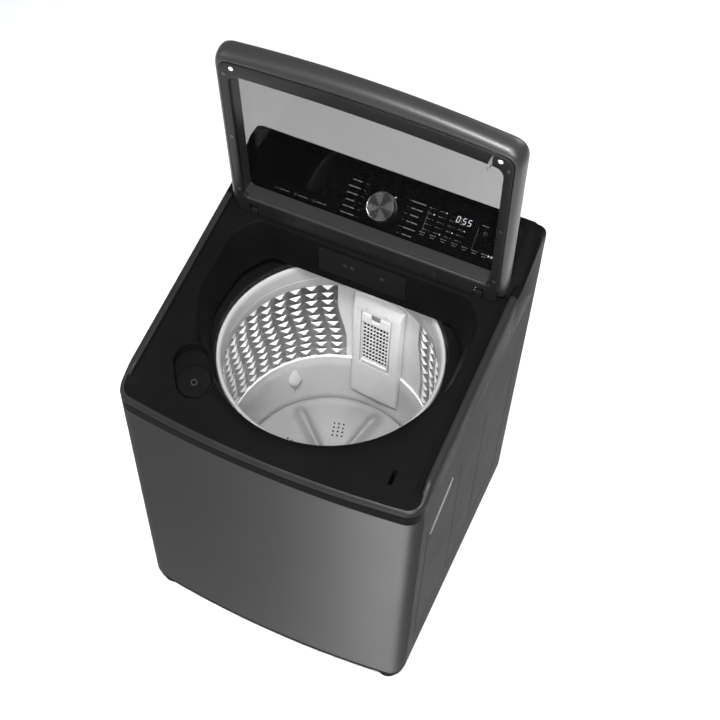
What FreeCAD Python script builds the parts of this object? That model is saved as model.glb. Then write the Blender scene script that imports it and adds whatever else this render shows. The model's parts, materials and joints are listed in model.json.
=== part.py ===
import FreeCAD, Part
import math
import os

import Sketcher

os.makedirs("parts", exist_ok=True)
doc = FreeCAD.newDocument("TopLoadWasher")

# Driving dimensions in millimetres. The origin is on the floor under the middle of the
# cabinet: +X to the right seen from the front, +Y to the back, +Z up.
DRIVING = {
    # cabinet
    "width": 640.0, "front_mid": -335.0, "rear": 335.0, "bow": 21.3,
    "corner_front": 36.0, "corner_rear": 32.0, "sheet": 1.2,
    "panel_bottom": 48.0, "panel_top": 758.0, "front_seam": -282.0, "rear_flange": 42.0,
    "base_height": 26.0, "base_rim": 62.0, "base_top": 62.0,
    "bead_depth": 0.5, "bead_width": 3.0,
    "grip_middle": -176.0, "grip_level": 622.0, "grip_length": 122.0, "grip_gap": 30.0,
    "grip_depth": 34.0, "grip_tilt": 26.0,
    # feet
    "foot_side": 280.0, "foot_front": -284.0, "foot_back": 286.0, "foot_radius": 26.0,
    "foot_pad": 16.0, "stud_radius": 5.0, "running_gap": 0.05,
    # top cover
    "deck_rear": 131.0, "deck_level": 884.4, "deck_slope": 0.1963, "deck_angle": 11.1,
    "shell": 3.2, "rail_rise": 15.0, "rail_width": 18.0, "ledge_rise": 6.0, "ledge_width": 36.0,
    "cover_seam": 156.0, "drum_middle": -12.0, "lip_level": 776.0, "lip_radius": 244.0,
    "well_flare": 41.0, "well_height": 124.0, "well_side": 262.0, "well_corner": 70.0,
    "pocket_radius": 36.0, "pocket_depth": 26.0, "cap_radius": 33.0, "cap_thick": 3.0,
    "pocket_x": -213.0, "pocket_y": -195.0, "cap_x": -188.0, "cap_y": -232.0,
    "cap_swing": 34.0,
    # console
    "face_start": 158.0, "face_level": 885.0, "face_slope": 0.9, "face_end": 271.0,
    "face_angle": 41.987, "face_border": 4.0, "fascia_half": 286.0, "fascia_thick": 3.0,
    "back_break": 800.0, "crown_round": 45.0,
    "knob_middle": 222.7, "knob_radius": 30.0, "knob_height": 20.0,
    # dispenser
    "drawer_half": 96.5, "drawer_bottom": 801.0, "drawer_top": 871.0, "drawer_length": 128.0,
    "drawer_wall": 2.2,
    # lid, in its own frame: hinge line to front edge along +Y, inner face up
    "hinge_y": 145.4, "hinge_z": 897.0, "hinge_offset": 8.0, "lid_lean": 4.45,
    "lid_half": 281.0, "lid_outer_half": 296.0, "lid_thick": 42.0, "lid_tail": 8.0,
    "lid_ridge": 420.0, "lid_front": 436.0, "lid_bow": 21.0, "window_half": 264.0,
    "window_start": 42.0, "window_end": 388.0, "glass_depth": 34.0, "glass_thick": 4.0,
    "hook_x": 242.0, "hook_u": 406.0, "hook_length": 14.0, "hook_rise": 24.0,
    "eye_y": -255.5, "eye_z": 794.9,
    "pin_radius": 4.0,
    # washing unit
    "tub_radius": 264.0, "tub_wall": 3.0, "tub_floor": 176.0, "tub_top": 736.0,
    "ring_radius": 232.0, "ring_bore": 222.0, "ring_top": 748.0, "ring_bottom": 680.0,
    "steel_radius": 230.0, "steel_wall": 1.0, "steel_bottom": 404.0,
    "base_well": 262.0, "base_floor": 232.0, "base_bore": 217.0,
    "pulsator_radius": 214.0, "pulsator_level": 262.0,
    "shaft_radius": 9.0, "spin_radius": 17.0, "rotor_radius": 128.0,
    "rod_side": 246.0, "rod_reach": 240.0, "rod_radius": 4.0, "lug_level": 214.0,
    "rod_top": 742.0, "rod_bottom": 118.0, "cup_radius": 22.0,
    "channel_half": 62.0, "channel_inner": 200.0, "filter_half": 36.0,
    "filter_bottom": 440.0, "filter_top": 628.0, "filter_pin": 2.0, "channel_turn": -4.3,
    "pump_x": 190.0, "pump_y": 95.0, "pump_top": 110.0, "spout_low": 150.0,
}

sheet = doc.addObject("Spreadsheet::Sheet", "Dims")
for row, (alias, number) in enumerate(DRIVING.items(), start=1):
    sheet.set(f"A{row}", alias)
    sheet.set(f"B{row}", str(number))
    sheet.setAlias(f"B{row}", alias)
doc.recompute()


class Size:
    """A length that knows its value and the spreadsheet expression that drives it."""

    def __init__(self, value, text):
        self.value = value
        self.text = text

    @staticmethod
    def of(thing):
        if isinstance(thing, Size):
            return thing
        return Size(float(thing), f"({float(thing)})")

    def join(self, other, sign, value):
        return Size(value, f"({self.text} {sign} {Size.of(other).text})")

    def __add__(self, other):
        return self.join(other, "+", self.value + Size.of(other).value)

    def __sub__(self, other):
        return self.join(other, "-", self.value - Size.of(other).value)

    def __mul__(self, other):
        return self.join(other, "*", self.value * Size.of(other).value)

    def __truediv__(self, other):
        return self.join(other, "/", self.value / Size.of(other).value)

    def __neg__(self):
        return Size(-self.value, f"(0 - {self.text})")

    def __radd__(self, other):
        return Size.of(other) + self

    def __rsub__(self, other):
        return Size.of(other) - self

    def __rmul__(self, other):
        return Size.of(other) * self


class Dims:
    """Gives each spreadsheet alias as a Size."""

    def __getattr__(self, alias):
        return Size(DRIVING[alias], f"Dims.{alias}")


d = Dims()
half_width = d.width / 2
SIDES = (-1, 1)
X_AXIS = FreeCAD.Vector(1, 0, 0)
Y_AXIS = FreeCAD.Vector(0, 1, 0)
Z_AXIS = FreeCAD.Vector(0, 0, 1)
serial = {"count": 0}
nodes = {}


def fresh(kind):
    serial["count"] += 1
    return f"{kind}_{serial['count']}"


def bind(obj, **sizes):
    for prop, size in sizes.items():
        obj.setExpression(prop, Size.of(size).text)


def place(obj, x=0, y=0, z=0):
    for letter, size in (("x", x), ("y", y), ("z", z)):
        obj.setExpression(f"Placement.Base.{letter}", Size.of(size).text)
    return obj


def turn(obj, axis, angle):
    """Turn an object about its own base point; the angle stays driven by the sheet."""
    obj.Placement = FreeCAD.Placement(obj.Placement.Base, FreeCAD.Rotation(axis, Size.of(angle).value))
    obj.setExpression("Placement.Rotation.Angle", Size.of(angle).text)
    return obj


def box(x, y, z):
    obj = doc.addObject("Part::Box", fresh("box"))
    bind(obj, Length=x[1] - x[0], Width=y[1] - y[0], Height=z[1] - z[0])
    return place(obj, x[0], y[0], z[0])


def span(low, high):
    return (Size.of(low), Size.of(high))


def cylinder(radius, height, x=0, y=0, z=0):
    obj = doc.addObject("Part::Cylinder", fresh("cylinder"))
    bind(obj, Radius=radius, Height=height)
    return place(obj, x, y, z)


def cylinder_x(radius, x0, x1, y, z):
    obj = cylinder(radius, Size.of(x1) - x0, x0, y, z)
    return turn(obj, Y_AXIS, 90)


def cylinder_y(radius, y0, y1, x, z):
    obj = cylinder(radius, Size.of(y1) - y0, x, y1, z)
    return turn(obj, X_AXIS, 90)


def cone(radius_low, radius_high, height, x=0, y=0, z=0):
    obj = doc.addObject("Part::Cone", fresh("cone"))
    bind(obj, Radius1=radius_low, Radius2=radius_high, Height=height)
    return place(obj, x, y, z)


def ball(radius, x, y, z):
    obj = doc.addObject("Part::Sphere", fresh("ball"))
    bind(obj, Radius=radius)
    return place(obj, x, y, z)


def fuse(*parts):
    if len(parts) == 1:
        return parts[0]
    obj = doc.addObject("Part::MultiFuse", fresh("fuse"))
    obj.Shapes = list(parts)
    return obj


def cut(base, *tools):
    obj = doc.addObject("Part::Cut", fresh("cut"))
    obj.Base = base
    obj.Tool = fuse(*tools)
    return obj


def common(first, second):
    obj = doc.addObject("Part::MultiCommon", fresh("common"))
    obj.Shapes = [first, second]
    return obj


def group(*parts):
    """Identical pieces of one node stay separate solids."""
    obj = doc.addObject("Part::Compound", fresh("group"))
    obj.Links = list(parts)
    return obj


def held(obj, x, y, z, axis, angle):
    """Carry a finished piece, with its own place kept inside, to x, y, z and turn it there."""
    carrier = obj if obj.TypeId == "Part::Compound" and not obj.ExpressionEngine else group(obj)
    place(carrier, x, y, z)
    return turn(carrier, axis, angle)


def node(name, obj):
    obj.Label = name
    nodes[name] = obj
    return obj


def origin_plane(body, role):
    for feature in body.Origin.OriginFeatures:
        if feature.Role == role:
            return feature
    raise ValueError(role)


def new_sketch(body, role):
    sketch = body.newObject("Sketcher::SketchObject", fresh("sketch"))
    sketch.AttachmentSupport = (origin_plane(body, role), [""])
    sketch.MapMode = "FlatFace"
    return sketch


def polygon(body, role, points):
    """A closed outline whose every corner is held by two driven distances."""
    sketch = new_sketch(body, role)
    corners = [(Size.of(u), Size.of(v)) for u, v in points]
    vectors = [FreeCAD.Vector(u.value, v.value, 0) for u, v in corners]
    count = len(vectors)
    for index in range(count):
        sketch.addGeometry(Part.LineSegment(vectors[index], vectors[(index + 1) % count]), False)
    for index in range(count):
        sketch.addConstraint(Sketcher.Constraint("Coincident", index, 2, (index + 1) % count, 1))
    for index, (u, v) in enumerate(corners):
        for kind, size in (("DistanceX", u), ("DistanceY", v)):
            mark = sketch.addConstraint(Sketcher.Constraint(kind, -1, 1, index, 1, size.value))
            sketch.setExpression(f"Constraints[{mark}]", size.text)
    return sketch


def padded(body, sketch, length):
    pad = body.newObject("PartDesign::Pad", fresh("pad"))
    pad.Profile = sketch
    bind(pad, Length=length)
    body.Tip = pad
    return pad


def prism(role, points, start, end):
    """Pad of a polygon drawn on an origin plane, from start to end along its normal."""
    body = doc.addObject("PartDesign::Body", fresh("body"))
    padded(body, polygon(body, role, points), Size.of(end) - start)
    axis = {"YZ_Plane": "x", "XY_Plane": "z"}[role]
    place(body, **{axis: start})
    return body


def turned_solid(points, x=0, y=0, z=0):
    """Revolution of an outline (radius, height) about the vertical line at x, y."""
    body = doc.addObject("PartDesign::Body", fresh("body"))
    sketch = polygon(body, "XZ_Plane", points)
    solid = body.newObject("PartDesign::Revolution", fresh("revolution"))
    solid.Profile = sketch
    solid.ReferenceAxis = (sketch, ["V_Axis"])
    solid.Angle = 360.0
    body.Tip = solid
    return place(body, x, y, z)


def round_edges(body, picks):
    """Fillet upright edges of a padded body; picks is a list of (test, radius)."""
    for test, radius in picks:
        doc.recompute()
        base = body.Tip
        names = []
        for index, edge in enumerate(base.Shape.Edges, start=1):
            low, high = edge.BoundBox.Center, edge.BoundBox
            upright = high.XLength < 0.01 and high.YLength < 0.01
            if upright and test(low):
                names.append(f"Edge{index}")
        fillet = body.newObject("PartDesign::Fillet", fresh("fillet"))
        fillet.Base = (base, names)
        bind(fillet, Radius=radius)
        body.Tip = fillet
    return body


def plan_outline(inset, low, high):
    """The cabinet's plan: straight sides and back, bowed front, four rounded corners."""
    inset = Size.of(inset)
    side = half_width - inset
    back = d.rear - inset
    bow_radius = (half_width * half_width + d.bow * d.bow) / (d.bow * 2)
    centre = d.front_mid + bow_radius
    radius = bow_radius - inset
    corner_y = centre.value - math.sqrt(radius.value ** 2 - side.value ** 2)
    body = doc.addObject("PartDesign::Body", fresh("plan"))
    sketch = new_sketch(body, "XY_Plane")
    right_front = FreeCAD.Vector(side.value, corner_y, 0)
    right_back = FreeCAD.Vector(side.value, back.value, 0)
    left_back = FreeCAD.Vector(-side.value, back.value, 0)
    left_front = FreeCAD.Vector(-side.value, corner_y, 0)
    drop = corner_y - centre.value
    circle = Part.Circle(FreeCAD.Vector(0, centre.value, 0), Z_AXIS, radius.value)
    first = math.atan2(drop, -side.value)
    last = math.atan2(drop, side.value)
    sketch.addGeometry(Part.LineSegment(right_front, right_back), False)
    sketch.addGeometry(Part.LineSegment(right_back, left_back), False)
    sketch.addGeometry(Part.LineSegment(left_back, left_front), False)
    sketch.addGeometry(Part.ArcOfCircle(circle, first, last), False)
    for index in range(4):
        sketch.addConstraint(Sketcher.Constraint("Coincident", index, 2, (index + 1) % 4, 1))
    pinned = [
        ("DistanceX", 0, 1, side), ("DistanceX", 0, 2, side), ("DistanceY", 0, 2, back),
        ("DistanceX", 1, 2, -side), ("DistanceY", 1, 2, back), ("DistanceX", 2, 2, -side),
        ("DistanceX", 3, 3, Size.of(0)), ("DistanceY", 3, 3, centre),
    ]
    for kind, shape, end, size in pinned:
        mark = sketch.addConstraint(Sketcher.Constraint(kind, -1, 1, shape, end, size.value))
        sketch.setExpression(f"Constraints[{mark}]", size.text)
    mark = sketch.addConstraint(Sketcher.Constraint("Radius", 3, radius.value))
    sketch.setExpression(f"Constraints[{mark}]", radius.text)
    padded(body, sketch, Size.of(high) - low)
    for test, radius in ((lambda middle: middle.y < 0, d.corner_front - inset),
                         (lambda middle: middle.y > 0, d.corner_rear - inset)):
        round_edges(body, [(test, radius if radius.value > 4 else Size.of(4))])
    return place(body, z=low)


def rounded_block(x, y, z, radius, corners=lambda middle: True):
    """A box with rounded upright edges."""
    points = [(x[0], y[0]), (x[1], y[0]), (x[1], y[1]), (x[0], y[1])]
    body = prism("XY_Plane", points, z[0], z[1])
    return round_edges(body, [(corners, radius)])


def deck_height(y, above=0):
    """Level of the sloping deck at a distance y."""
    return d.deck_level + d.deck_slope * (Size.of(y) - d.deck_rear) + above


def face_height(y, above=0):
    """Level of the sloping console face at a distance y."""
    return d.face_level + d.face_slope * (Size.of(y) - d.face_start) + above


# ---------------------------------------------------------------- cabinet shell
def wall_ring(low, high):
    return cut(plan_outline(0, low, high), plan_outline(d.sheet, low - 1, high + 1))


far = d.width


def front_panel():
    ring = wall_ring(d.panel_bottom, d.panel_top)
    return node("front_panel", common(ring, box(span(-far, far), span(-far, d.front_seam),
                                                span(0, far * 2))))


def grip_slot(side, grow, depth):
    """The slanting finger slot in a side panel, rounded at its ends."""
    radius = d.grip_gap / 2 + grow
    length = d.grip_length - d.grip_gap
    start = Size.of(side) * half_width - (depth if side > 0 else Size.of(1))
    run = depth + 1
    bar = box(span(0, run), span(-length / 2, length / 2), span(-radius, radius))
    ends = [cylinder_x(radius, 0, run, y, 0) for y in (-length / 2, length / 2)]
    slot = fuse(bar, *ends)
    return held(slot, start, d.grip_middle, d.grip_level, X_AXIS, d.grip_tilt)


def side_panel(side, name):
    ring = wall_ring(d.panel_bottom, d.panel_top)
    flank = box(span(-far, -half_width + d.rear_flange) if side < 0 else
                span(half_width - d.rear_flange, far),
                span(d.front_seam + 0.5, far), span(0, far * 2))
    outer = half_width * side
    depth = d.bead_depth
    near = outer - depth if side > 0 else outer - 1
    across = span(near, near + depth + 1)
    lines = [box(across, span(y, d.bead_width + y), span(145, 620)) for y in (-247, -69, 70, 245)]
    foot_line = box(across, span(-247, 248), span(145, d.bead_width + 145))
    return node(name, cut(common(ring, flank), grip_slot(side, 0, d.grip_depth), *lines, foot_line))


def side_grips():
    cups = []
    for side in SIDES:
        shell = cut(grip_slot(side, 6, d.grip_depth), grip_slot(side, 0, d.grip_depth - 3))
        inside = span(-half_width + d.sheet, half_width - d.sheet)
        cups.append(common(shell, box(inside, span(-far, far), span(0, far * 2))))
    return node("side_grips", group(*cups))


VALVES = {"inlet_valve_cold": -200, "inlet_valve_hot": -130}
SCREWS = [(x, z) for x in (-250, -100, 0, 100, 250) for z in (70, 736)]


def rear_panel():
    edge = half_width - d.rear_flange - 0.5
    plate = box(span(-edge, edge), span(d.rear - d.sheet, d.rear), span(d.panel_bottom, d.panel_top))
    holes = [cylinder_y(22.0, d.rear - 5, d.rear + 5, x, 700) for x in VALVES.values()]
    drain = cylinder_y(24.0, d.rear - 5, d.rear + 5, d.pump_x, 640)
    inlet = cylinder_y(11.0, d.rear - 5, d.rear + 5, 230, 710)
    screws = [cylinder_y(4.55, d.rear - 5, d.rear + 5, x, z) for x, z in SCREWS]
    louvres = [box(span(-40, 40), span(d.rear - 5, d.rear + 5), span(z, z + Size.of(5)))
               for z in range(120, 240, 20)]
    return node("rear_panel", cut(plate, *holes, drain, inlet, *screws, *louvres))


def cord_gland():
    body = cylinder_y(11.0, d.rear - 6, d.rear, 230, 710)
    flange = cylinder_y(15.0, d.rear - 8, d.rear - d.sheet, 230, 710)
    bore = cylinder_y(4.5, d.rear - 20, d.rear + 10, 230, 710)
    return node("cord_gland", cut(fuse(body, flange), bore))


FEET = {
    "foot_front_left": (-1, d.foot_front), "foot_front_right": (1, d.foot_front),
}
stud_gap = d.stud_radius + d.running_gap


def base_frame():
    skirt = plan_outline(4, d.base_height, d.panel_bottom)
    tongue = plan_outline(2, d.panel_bottom, d.base_top)
    reach = half_width - d.base_rim
    mouth = rounded_block(span(-reach, reach), span(d.front_mid + d.base_rim + 14, d.rear - d.base_rim),
                          span(d.base_height - 1, d.base_top + 1), 30)
    tray = box(span(140, half_width - d.base_rim + 2), span(d.pump_y - 40, d.pump_y + 40),
               span(d.base_top - 12, d.base_top))
    bosses = [cylinder(16, d.base_top - d.base_height, side * d.foot_side, y, d.base_height)
              for side in SIDES for y in (d.foot_front, d.foot_back)]
    holes = [cylinder(stud_gap, far, side * d.foot_side, y, 0)
             for side in SIDES for y in (d.foot_front, d.foot_back)]
    lining = rounded_block(span(-reach - 4, reach + 4),
                           span(d.front_mid + d.base_rim + 10, d.rear - d.base_rim + 4),
                           span(d.base_height - 2, d.base_top), 34)
    under = cut(plan_outline(8, d.base_height - 1, d.base_top - 4), lining, *bosses)
    ring = cut(fuse(skirt, tongue, *bosses), mouth, *holes, under)
    return node("base_frame", fuse(ring, tray))


def foot_solid(x, y, stud):
    pad = turned_solid([(0, 0), (d.foot_radius - 3, 0), (d.foot_radius, 3),
                        (d.foot_radius, d.foot_pad - 4), (d.foot_radius - 6, d.foot_pad),
                        (0, d.foot_pad)], x, y, 0)
    return fuse(pad, cylinder(stud, d.base_top - 8 - d.foot_pad, x, y, d.foot_pad))


def feet():
    for name, (side, y) in FEET.items():
        node(name, foot_solid(side * d.foot_side, y, d.stud_radius))
    pair = [foot_solid(side * d.foot_side, d.foot_back, d.stud_radius) for side in SIDES]
    node("feet_rear", group(*pair))


# ---------------------------------------------------------------- top cover
def well(grow):
    """The loading well: a flared ring joined to a square back with round corners."""
    flare = cone(d.lip_radius + grow, d.lip_radius + d.well_flare + grow, d.well_height,
                 0, d.drum_middle, d.lip_level)
    back = rounded_block(span(-d.well_side - grow, d.well_side + grow),
                         span(d.drum_middle, d.deck_rear + grow),
                         span(d.lip_level, d.lip_level + d.well_height),
                         d.well_corner + grow, lambda middle: middle.y > 0)
    slab = box(span(-far, far), span(-far, d.deck_rear + grow), span(0, far * 2))
    return common(fuse(flare, back), slab)


def deck_prism(drop, seam, low):
    """Everything under the sloping deck, as a side view."""
    front = d.front_mid - 20
    return prism("YZ_Plane", [(front, low), (seam, low), (seam, deck_height(seam, -drop)),
                              (front, deck_height(front, -drop))], -far, far)


def rim_prism(rise, seam):
    """Side view of the raised side rims, which start behind the front corners."""
    start = d.front_mid + 30
    return prism("YZ_Plane", [(start, d.panel_top), (seam, d.panel_top), (seam, deck_height(seam, rise)),
                              (start + 46, deck_height(start + 46, rise)), (start, deck_height(start, 0))],
                 -far, far)


def rim(width, rise, seam):
    ring = cut(plan_outline(0, d.panel_top, 1000), plan_outline(width, d.panel_top - 1, 1001))
    return common(ring, rim_prism(rise, seam))


def pocket_hull(radius, depth, above):
    """Two overlapping round wells with straight sides, sunk square to the deck."""
    dx = d.cap_x - d.pocket_x
    dy = d.cap_y - d.pocket_y
    first = cylinder(radius, depth + above, 0, 0, -depth)
    second = cylinder(radius, depth + above, dx, dy, -depth)
    reach = math.hypot(dx.value, dy.value)
    bar = box(span(0, reach), span(-radius, radius), span(-depth, above))
    turn(bar, Z_AXIS, math.degrees(math.atan2(dy.value, dx.value)))
    return on_deck(fuse(first, second, bar), d.pocket_x, d.pocket_y)


def on_deck(obj, x, y, above=0):
    """Lay a piece modelled flat onto the deck's slope."""
    return held(obj, x, y, deck_height(y, above), X_AXIS, d.deck_angle)


def top_cover():
    solid = common(plan_outline(0, d.panel_top, 1000), deck_prism(0, d.cover_seam, d.panel_top))
    hollow = common(plan_outline(d.shell, d.panel_top - 1, 1000),
                    deck_prism(d.shell, d.cover_seam + 1, d.panel_top - 1))
    raised = fuse(solid, rim(d.ledge_width, d.ledge_rise, d.cover_seam),
                  rim(d.rail_width, d.rail_rise, d.cover_seam))
    inner = cut(hollow, fuse(well(d.shell), pocket_hull(d.pocket_radius + 2, d.pocket_depth + 2, 20)))
    drawer_hole = box(span(-d.drawer_half - 1.5, d.drawer_half + 1.5), span(d.deck_rear - 10, d.cover_seam),
                      span(d.drawer_bottom - 1.5, d.drawer_top + 1.5))
    slot = box(span(d.hook_x - 4.5, d.hook_x + 4.5), span(-275, -244), span(700, 900))
    tail_room = box(span(-d.lid_half - 3, d.lid_half + 3), span(d.deck_rear + 4, d.cover_seam + 1),
                    span(deck_height(d.deck_rear, 0.5), 1000))
    cover = cut(raised, inner, well(0), pocket_hull(d.pocket_radius, d.pocket_depth, 30),
                drawer_hole, slot, tail_room, cap_pin(1.58))
    return node("top_cover", cover)


def cap_pin(radius):
    """The bleach cap's hinge pin, ahead of its middle, square to the pocket's length."""
    pin = held(cylinder_x(radius, -32, 32, -20, -5.5), 0, 0, 0, Z_AXIS, d.cap_swing)
    return on_deck(pin, d.cap_x, d.cap_y)


def bleach_cap():
    disc = on_deck(cylinder(d.cap_radius, d.cap_thick, 0, 0, -7), d.cap_x, d.cap_y)
    return node("bleach_cap", fuse(disc, cap_pin(1.5)))


# ---------------------------------------------------------------- console
def console_prism(drop, front):
    """Side view of the console: upright front, sloping face, leaning back."""
    top = d.face_end + 4
    return prism("YZ_Plane", [
        (front, d.panel_top - drop / 2), (d.rear - drop, d.panel_top - drop / 2),
        (d.rear - drop, d.back_break), (d.face_end + 26 - drop, face_height(d.face_end, -26)),
        (top + 6 - drop, face_height(d.face_end, d.face_border - drop)),
        (d.face_end, face_height(d.face_end, d.face_border - drop)),
        (d.face_start, face_height(d.face_start, d.face_border - drop)),
        (front, face_height(d.face_start, d.face_border - drop))], -far, far)


def crown(inset):
    """Front view of the console: its upper corners are rounded."""
    body = doc.addObject("PartDesign::Body", fresh("body"))
    side = half_width - inset
    top = face_height(d.face_end, d.face_border + 1) - inset
    sketch = polygon(body, "XY_Plane", [(-side, 700), (side, 700), (side, top), (-side, top)])
    padded(body, sketch, far * 2)
    round_edges(body, [(lambda middle: middle.y > 800, d.crown_round - inset)])
    place(body, 0, far, 0)
    return turn(body, X_AXIS, 90)


def on_face(obj, x, y, above=0):
    """Lay a piece modelled flat onto the console's slope."""
    return held(obj, x, y, face_height(y, above), X_AXIS, d.face_angle)


def console_housing():
    block = common(common(plan_outline(0, d.panel_top, 1100), console_prism(Size.of(0), d.cover_seam)),
                   crown(0))
    rail = cut(plan_outline(0, d.panel_top, 1000), plan_outline(d.rail_width, d.panel_top - 1, 1001))
    cheeks = common(rail,
                    prism("YZ_Plane", [(d.cover_seam, d.panel_top), (200, d.panel_top),
                                       (200, deck_height(200, d.rail_rise)),
                                       (d.cover_seam, deck_height(d.cover_seam, d.rail_rise))], -far, far))
    hollow = common(common(plan_outline(d.shell, d.panel_top - 1, 1100),
                           console_prism(d.shell * 2, d.cover_seam + d.shell)), crown(d.shell))
    recess = rounded_block(span(-d.fascia_half, d.fascia_half), span(4, 146), span(-d.fascia_thick, 30), 14)
    recess = on_face(recess, 0, d.face_start)
    stem = on_face(cylinder(8, 60, 0, 0, -40), 0, d.knob_middle)
    doorway = box(span(-d.drawer_half - 5, d.drawer_half + 5), span(d.cover_seam - 10, d.cover_seam + 20),
                  span(d.drawer_bottom - 5, d.drawer_top + 5))
    tail_room = cylinder_x(18, -d.lid_outer_half - 3, d.lid_outer_half + 3, d.hinge_y, d.hinge_z)
    trim = box(span(-d.lid_outer_half - 3, d.lid_outer_half + 3), span(d.cover_seam - 1, d.face_start + 2),
               span(face_height(d.face_start, 0), 1000))
    ring_room = box(span(-215, 215), span(d.cover_seam - 1, d.cover_seam + d.shell * 2),
                    span(d.panel_top - 1, d.panel_top + 14))
    housing = cut(fuse(block, cheeks), hollow, recess, stem, doorway, tail_room, trim, ring_room)
    return node("console_housing", housing)


def console_fascia():
    plate = rounded_block(span(-d.fascia_half + 0.3, d.fascia_half - 0.3), span(4.3, 145.7),
                          span(-d.fascia_thick, 0), 13.7)
    plate = on_face(plate, 0, d.face_start)
    return node("console_fascia", cut(plate, on_face(cylinder(8, 40, 0, 0, -20), 0, d.knob_middle)))


def knob():
    skirt = cylinder(d.knob_radius + 1.5, 4, 0, 0, 0.8)
    grip = cone(d.knob_radius, d.knob_radius - 1.5, d.knob_height - 4.8, 0, 0, 4.8)
    stem = cylinder(4, 24, 0, 0, -16)
    return node("knob", on_face(fuse(skirt, grip, stem), 0, d.knob_middle))


def encoder():
    body = cut(fuse(box(span(-9, 9), span(-9, 9), span(-24, -12)), cylinder(6.5, 8, 0, 0, -12)),
               cylinder(d.running_gap + 4, 40, 0, 0, -20))
    return node("encoder", on_face(body, 0, d.knob_middle))


def control_board():
    plate = box(span(-20, 250), span(-45, 45), span(-26, -24))
    parts = [box(span(x, x + Size.of(26)), span(-12, 12), span(-38, -26)) for x in (60, 110, 170)]
    display = box(span(135, 195), span(8, 32), span(-24, -11))
    return node("control_board", on_face(fuse(plate, display, *parts), 0, d.knob_middle))


# ---------------------------------------------------------------- dispenser and water parts
def dispenser():
    back = d.deck_rear + d.drawer_length + 4
    outer = box(span(-d.drawer_half - 4, d.drawer_half + 4), span(d.cover_seam - 18, back + 3),
                span(d.drawer_bottom - 4, d.drawer_top + 4))
    inner = box(span(-d.drawer_half - 1.5, d.drawer_half + 1.5), span(d.cover_seam - 30, back),
                span(d.drawer_bottom - 1.2, d.drawer_top + 1.2))
    drop = box(span(-60, 60), span(d.deck_rear + 70, back - 10), span(d.drawer_bottom - 20, d.drawer_top))
    outlet = cut(box(span(-64, 64), span(d.deck_rear + 66, back - 6),
                     span(d.drawer_bottom - 30, d.drawer_bottom - 4)),
                 box(span(-60, 60), span(d.deck_rear + 70, back - 10),
                     span(d.drawer_bottom - 40, d.drawer_top)))
    node("dispenser_housing", cut(fuse(outer, outlet), inner, drop))
    wall = d.drawer_wall
    body = box(span(-d.drawer_half + 2, d.drawer_half - 2),
               span(d.deck_rear + 3, d.deck_rear + d.drawer_length),
               span(d.drawer_bottom, d.drawer_top - 12))
    front = box(span(-d.drawer_half, d.drawer_half), span(d.deck_rear, d.deck_rear + 5),
                span(d.drawer_bottom, d.drawer_top))
    bays = []
    for low, high in ((-94.5, -30), (-30, 34), (34, 94.5)):
        bays.append(box(span(wall + low, high - wall / 2),
                        span(d.deck_rear + 8, d.deck_rear + d.drawer_length - wall),
                        span(wall + d.drawer_bottom, d.drawer_top + 1)))
    node("dispenser_drawer", cut(fuse(body, front), *bays))


def valves():
    for name, x in VALVES.items():
        collar = cylinder_y(13.2, d.rear - 23, d.rear - 0.2, x, 700)
        block = box(span(x - 20, x + Size.of(20)), span(d.rear - 65, d.rear - 23), span(682, 718))
        coil = cylinder(15, 30, x, d.rear - 45, 718)
        spout = cylinder(7, 16, x, d.rear - 45, 666)
        bore = cylinder_y(8.5, d.rear - 40, d.rear + 1, x, 700)
        node(name, cut(fuse(collar, block, coil, spout), bore))


def pressure_sensor():
    body = cylinder(22, 14, 262, 150, 690)
    nipple = cylinder(3.5, 16, 262, 150, 675)
    ear = box(span(254, 270), span(170, 186), span(690, 694))
    return node("pressure_sensor", fuse(body, nipple, ear))


def lid_lock():
    x = d.hook_x
    eye_y, eye_z = d.eye_y, d.eye_z
    housing = prism("YZ_Plane", [(-292, 764), (-228, 764), (-228, deck_height(-228, -d.shell)),
                                 (-292, deck_height(-292, -d.shell))], x - 16, x + 26)
    mouth = box(span(x - 5, x + 5), span(-276, -243), span(700, 900))
    tunnel = box(span(x - 2, x + 22), span(eye_y - 3, eye_y + 3), span(eye_z - 4, eye_z + 4))
    node("lid_lock_housing", cut(housing, mouth, tunnel))
    node("lid_lock_bolt", box(span(x + 6.5, x + 19.5), span(eye_y - 2.5, eye_y + 2.5),
                              span(eye_z - 3.5, eye_z + 3.5)))


# ---------------------------------------------------------------- lid
LID_UP = d.lid_lean + 90


def on_lid(obj):
    """Stand a piece modelled flat, inner face up, at the hinge."""
    return held(obj, 0, d.hinge_y - d.hinge_offset * 0.99698, d.hinge_z - d.hinge_offset * 0.07759,
                X_AXIS, LID_UP)


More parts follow.
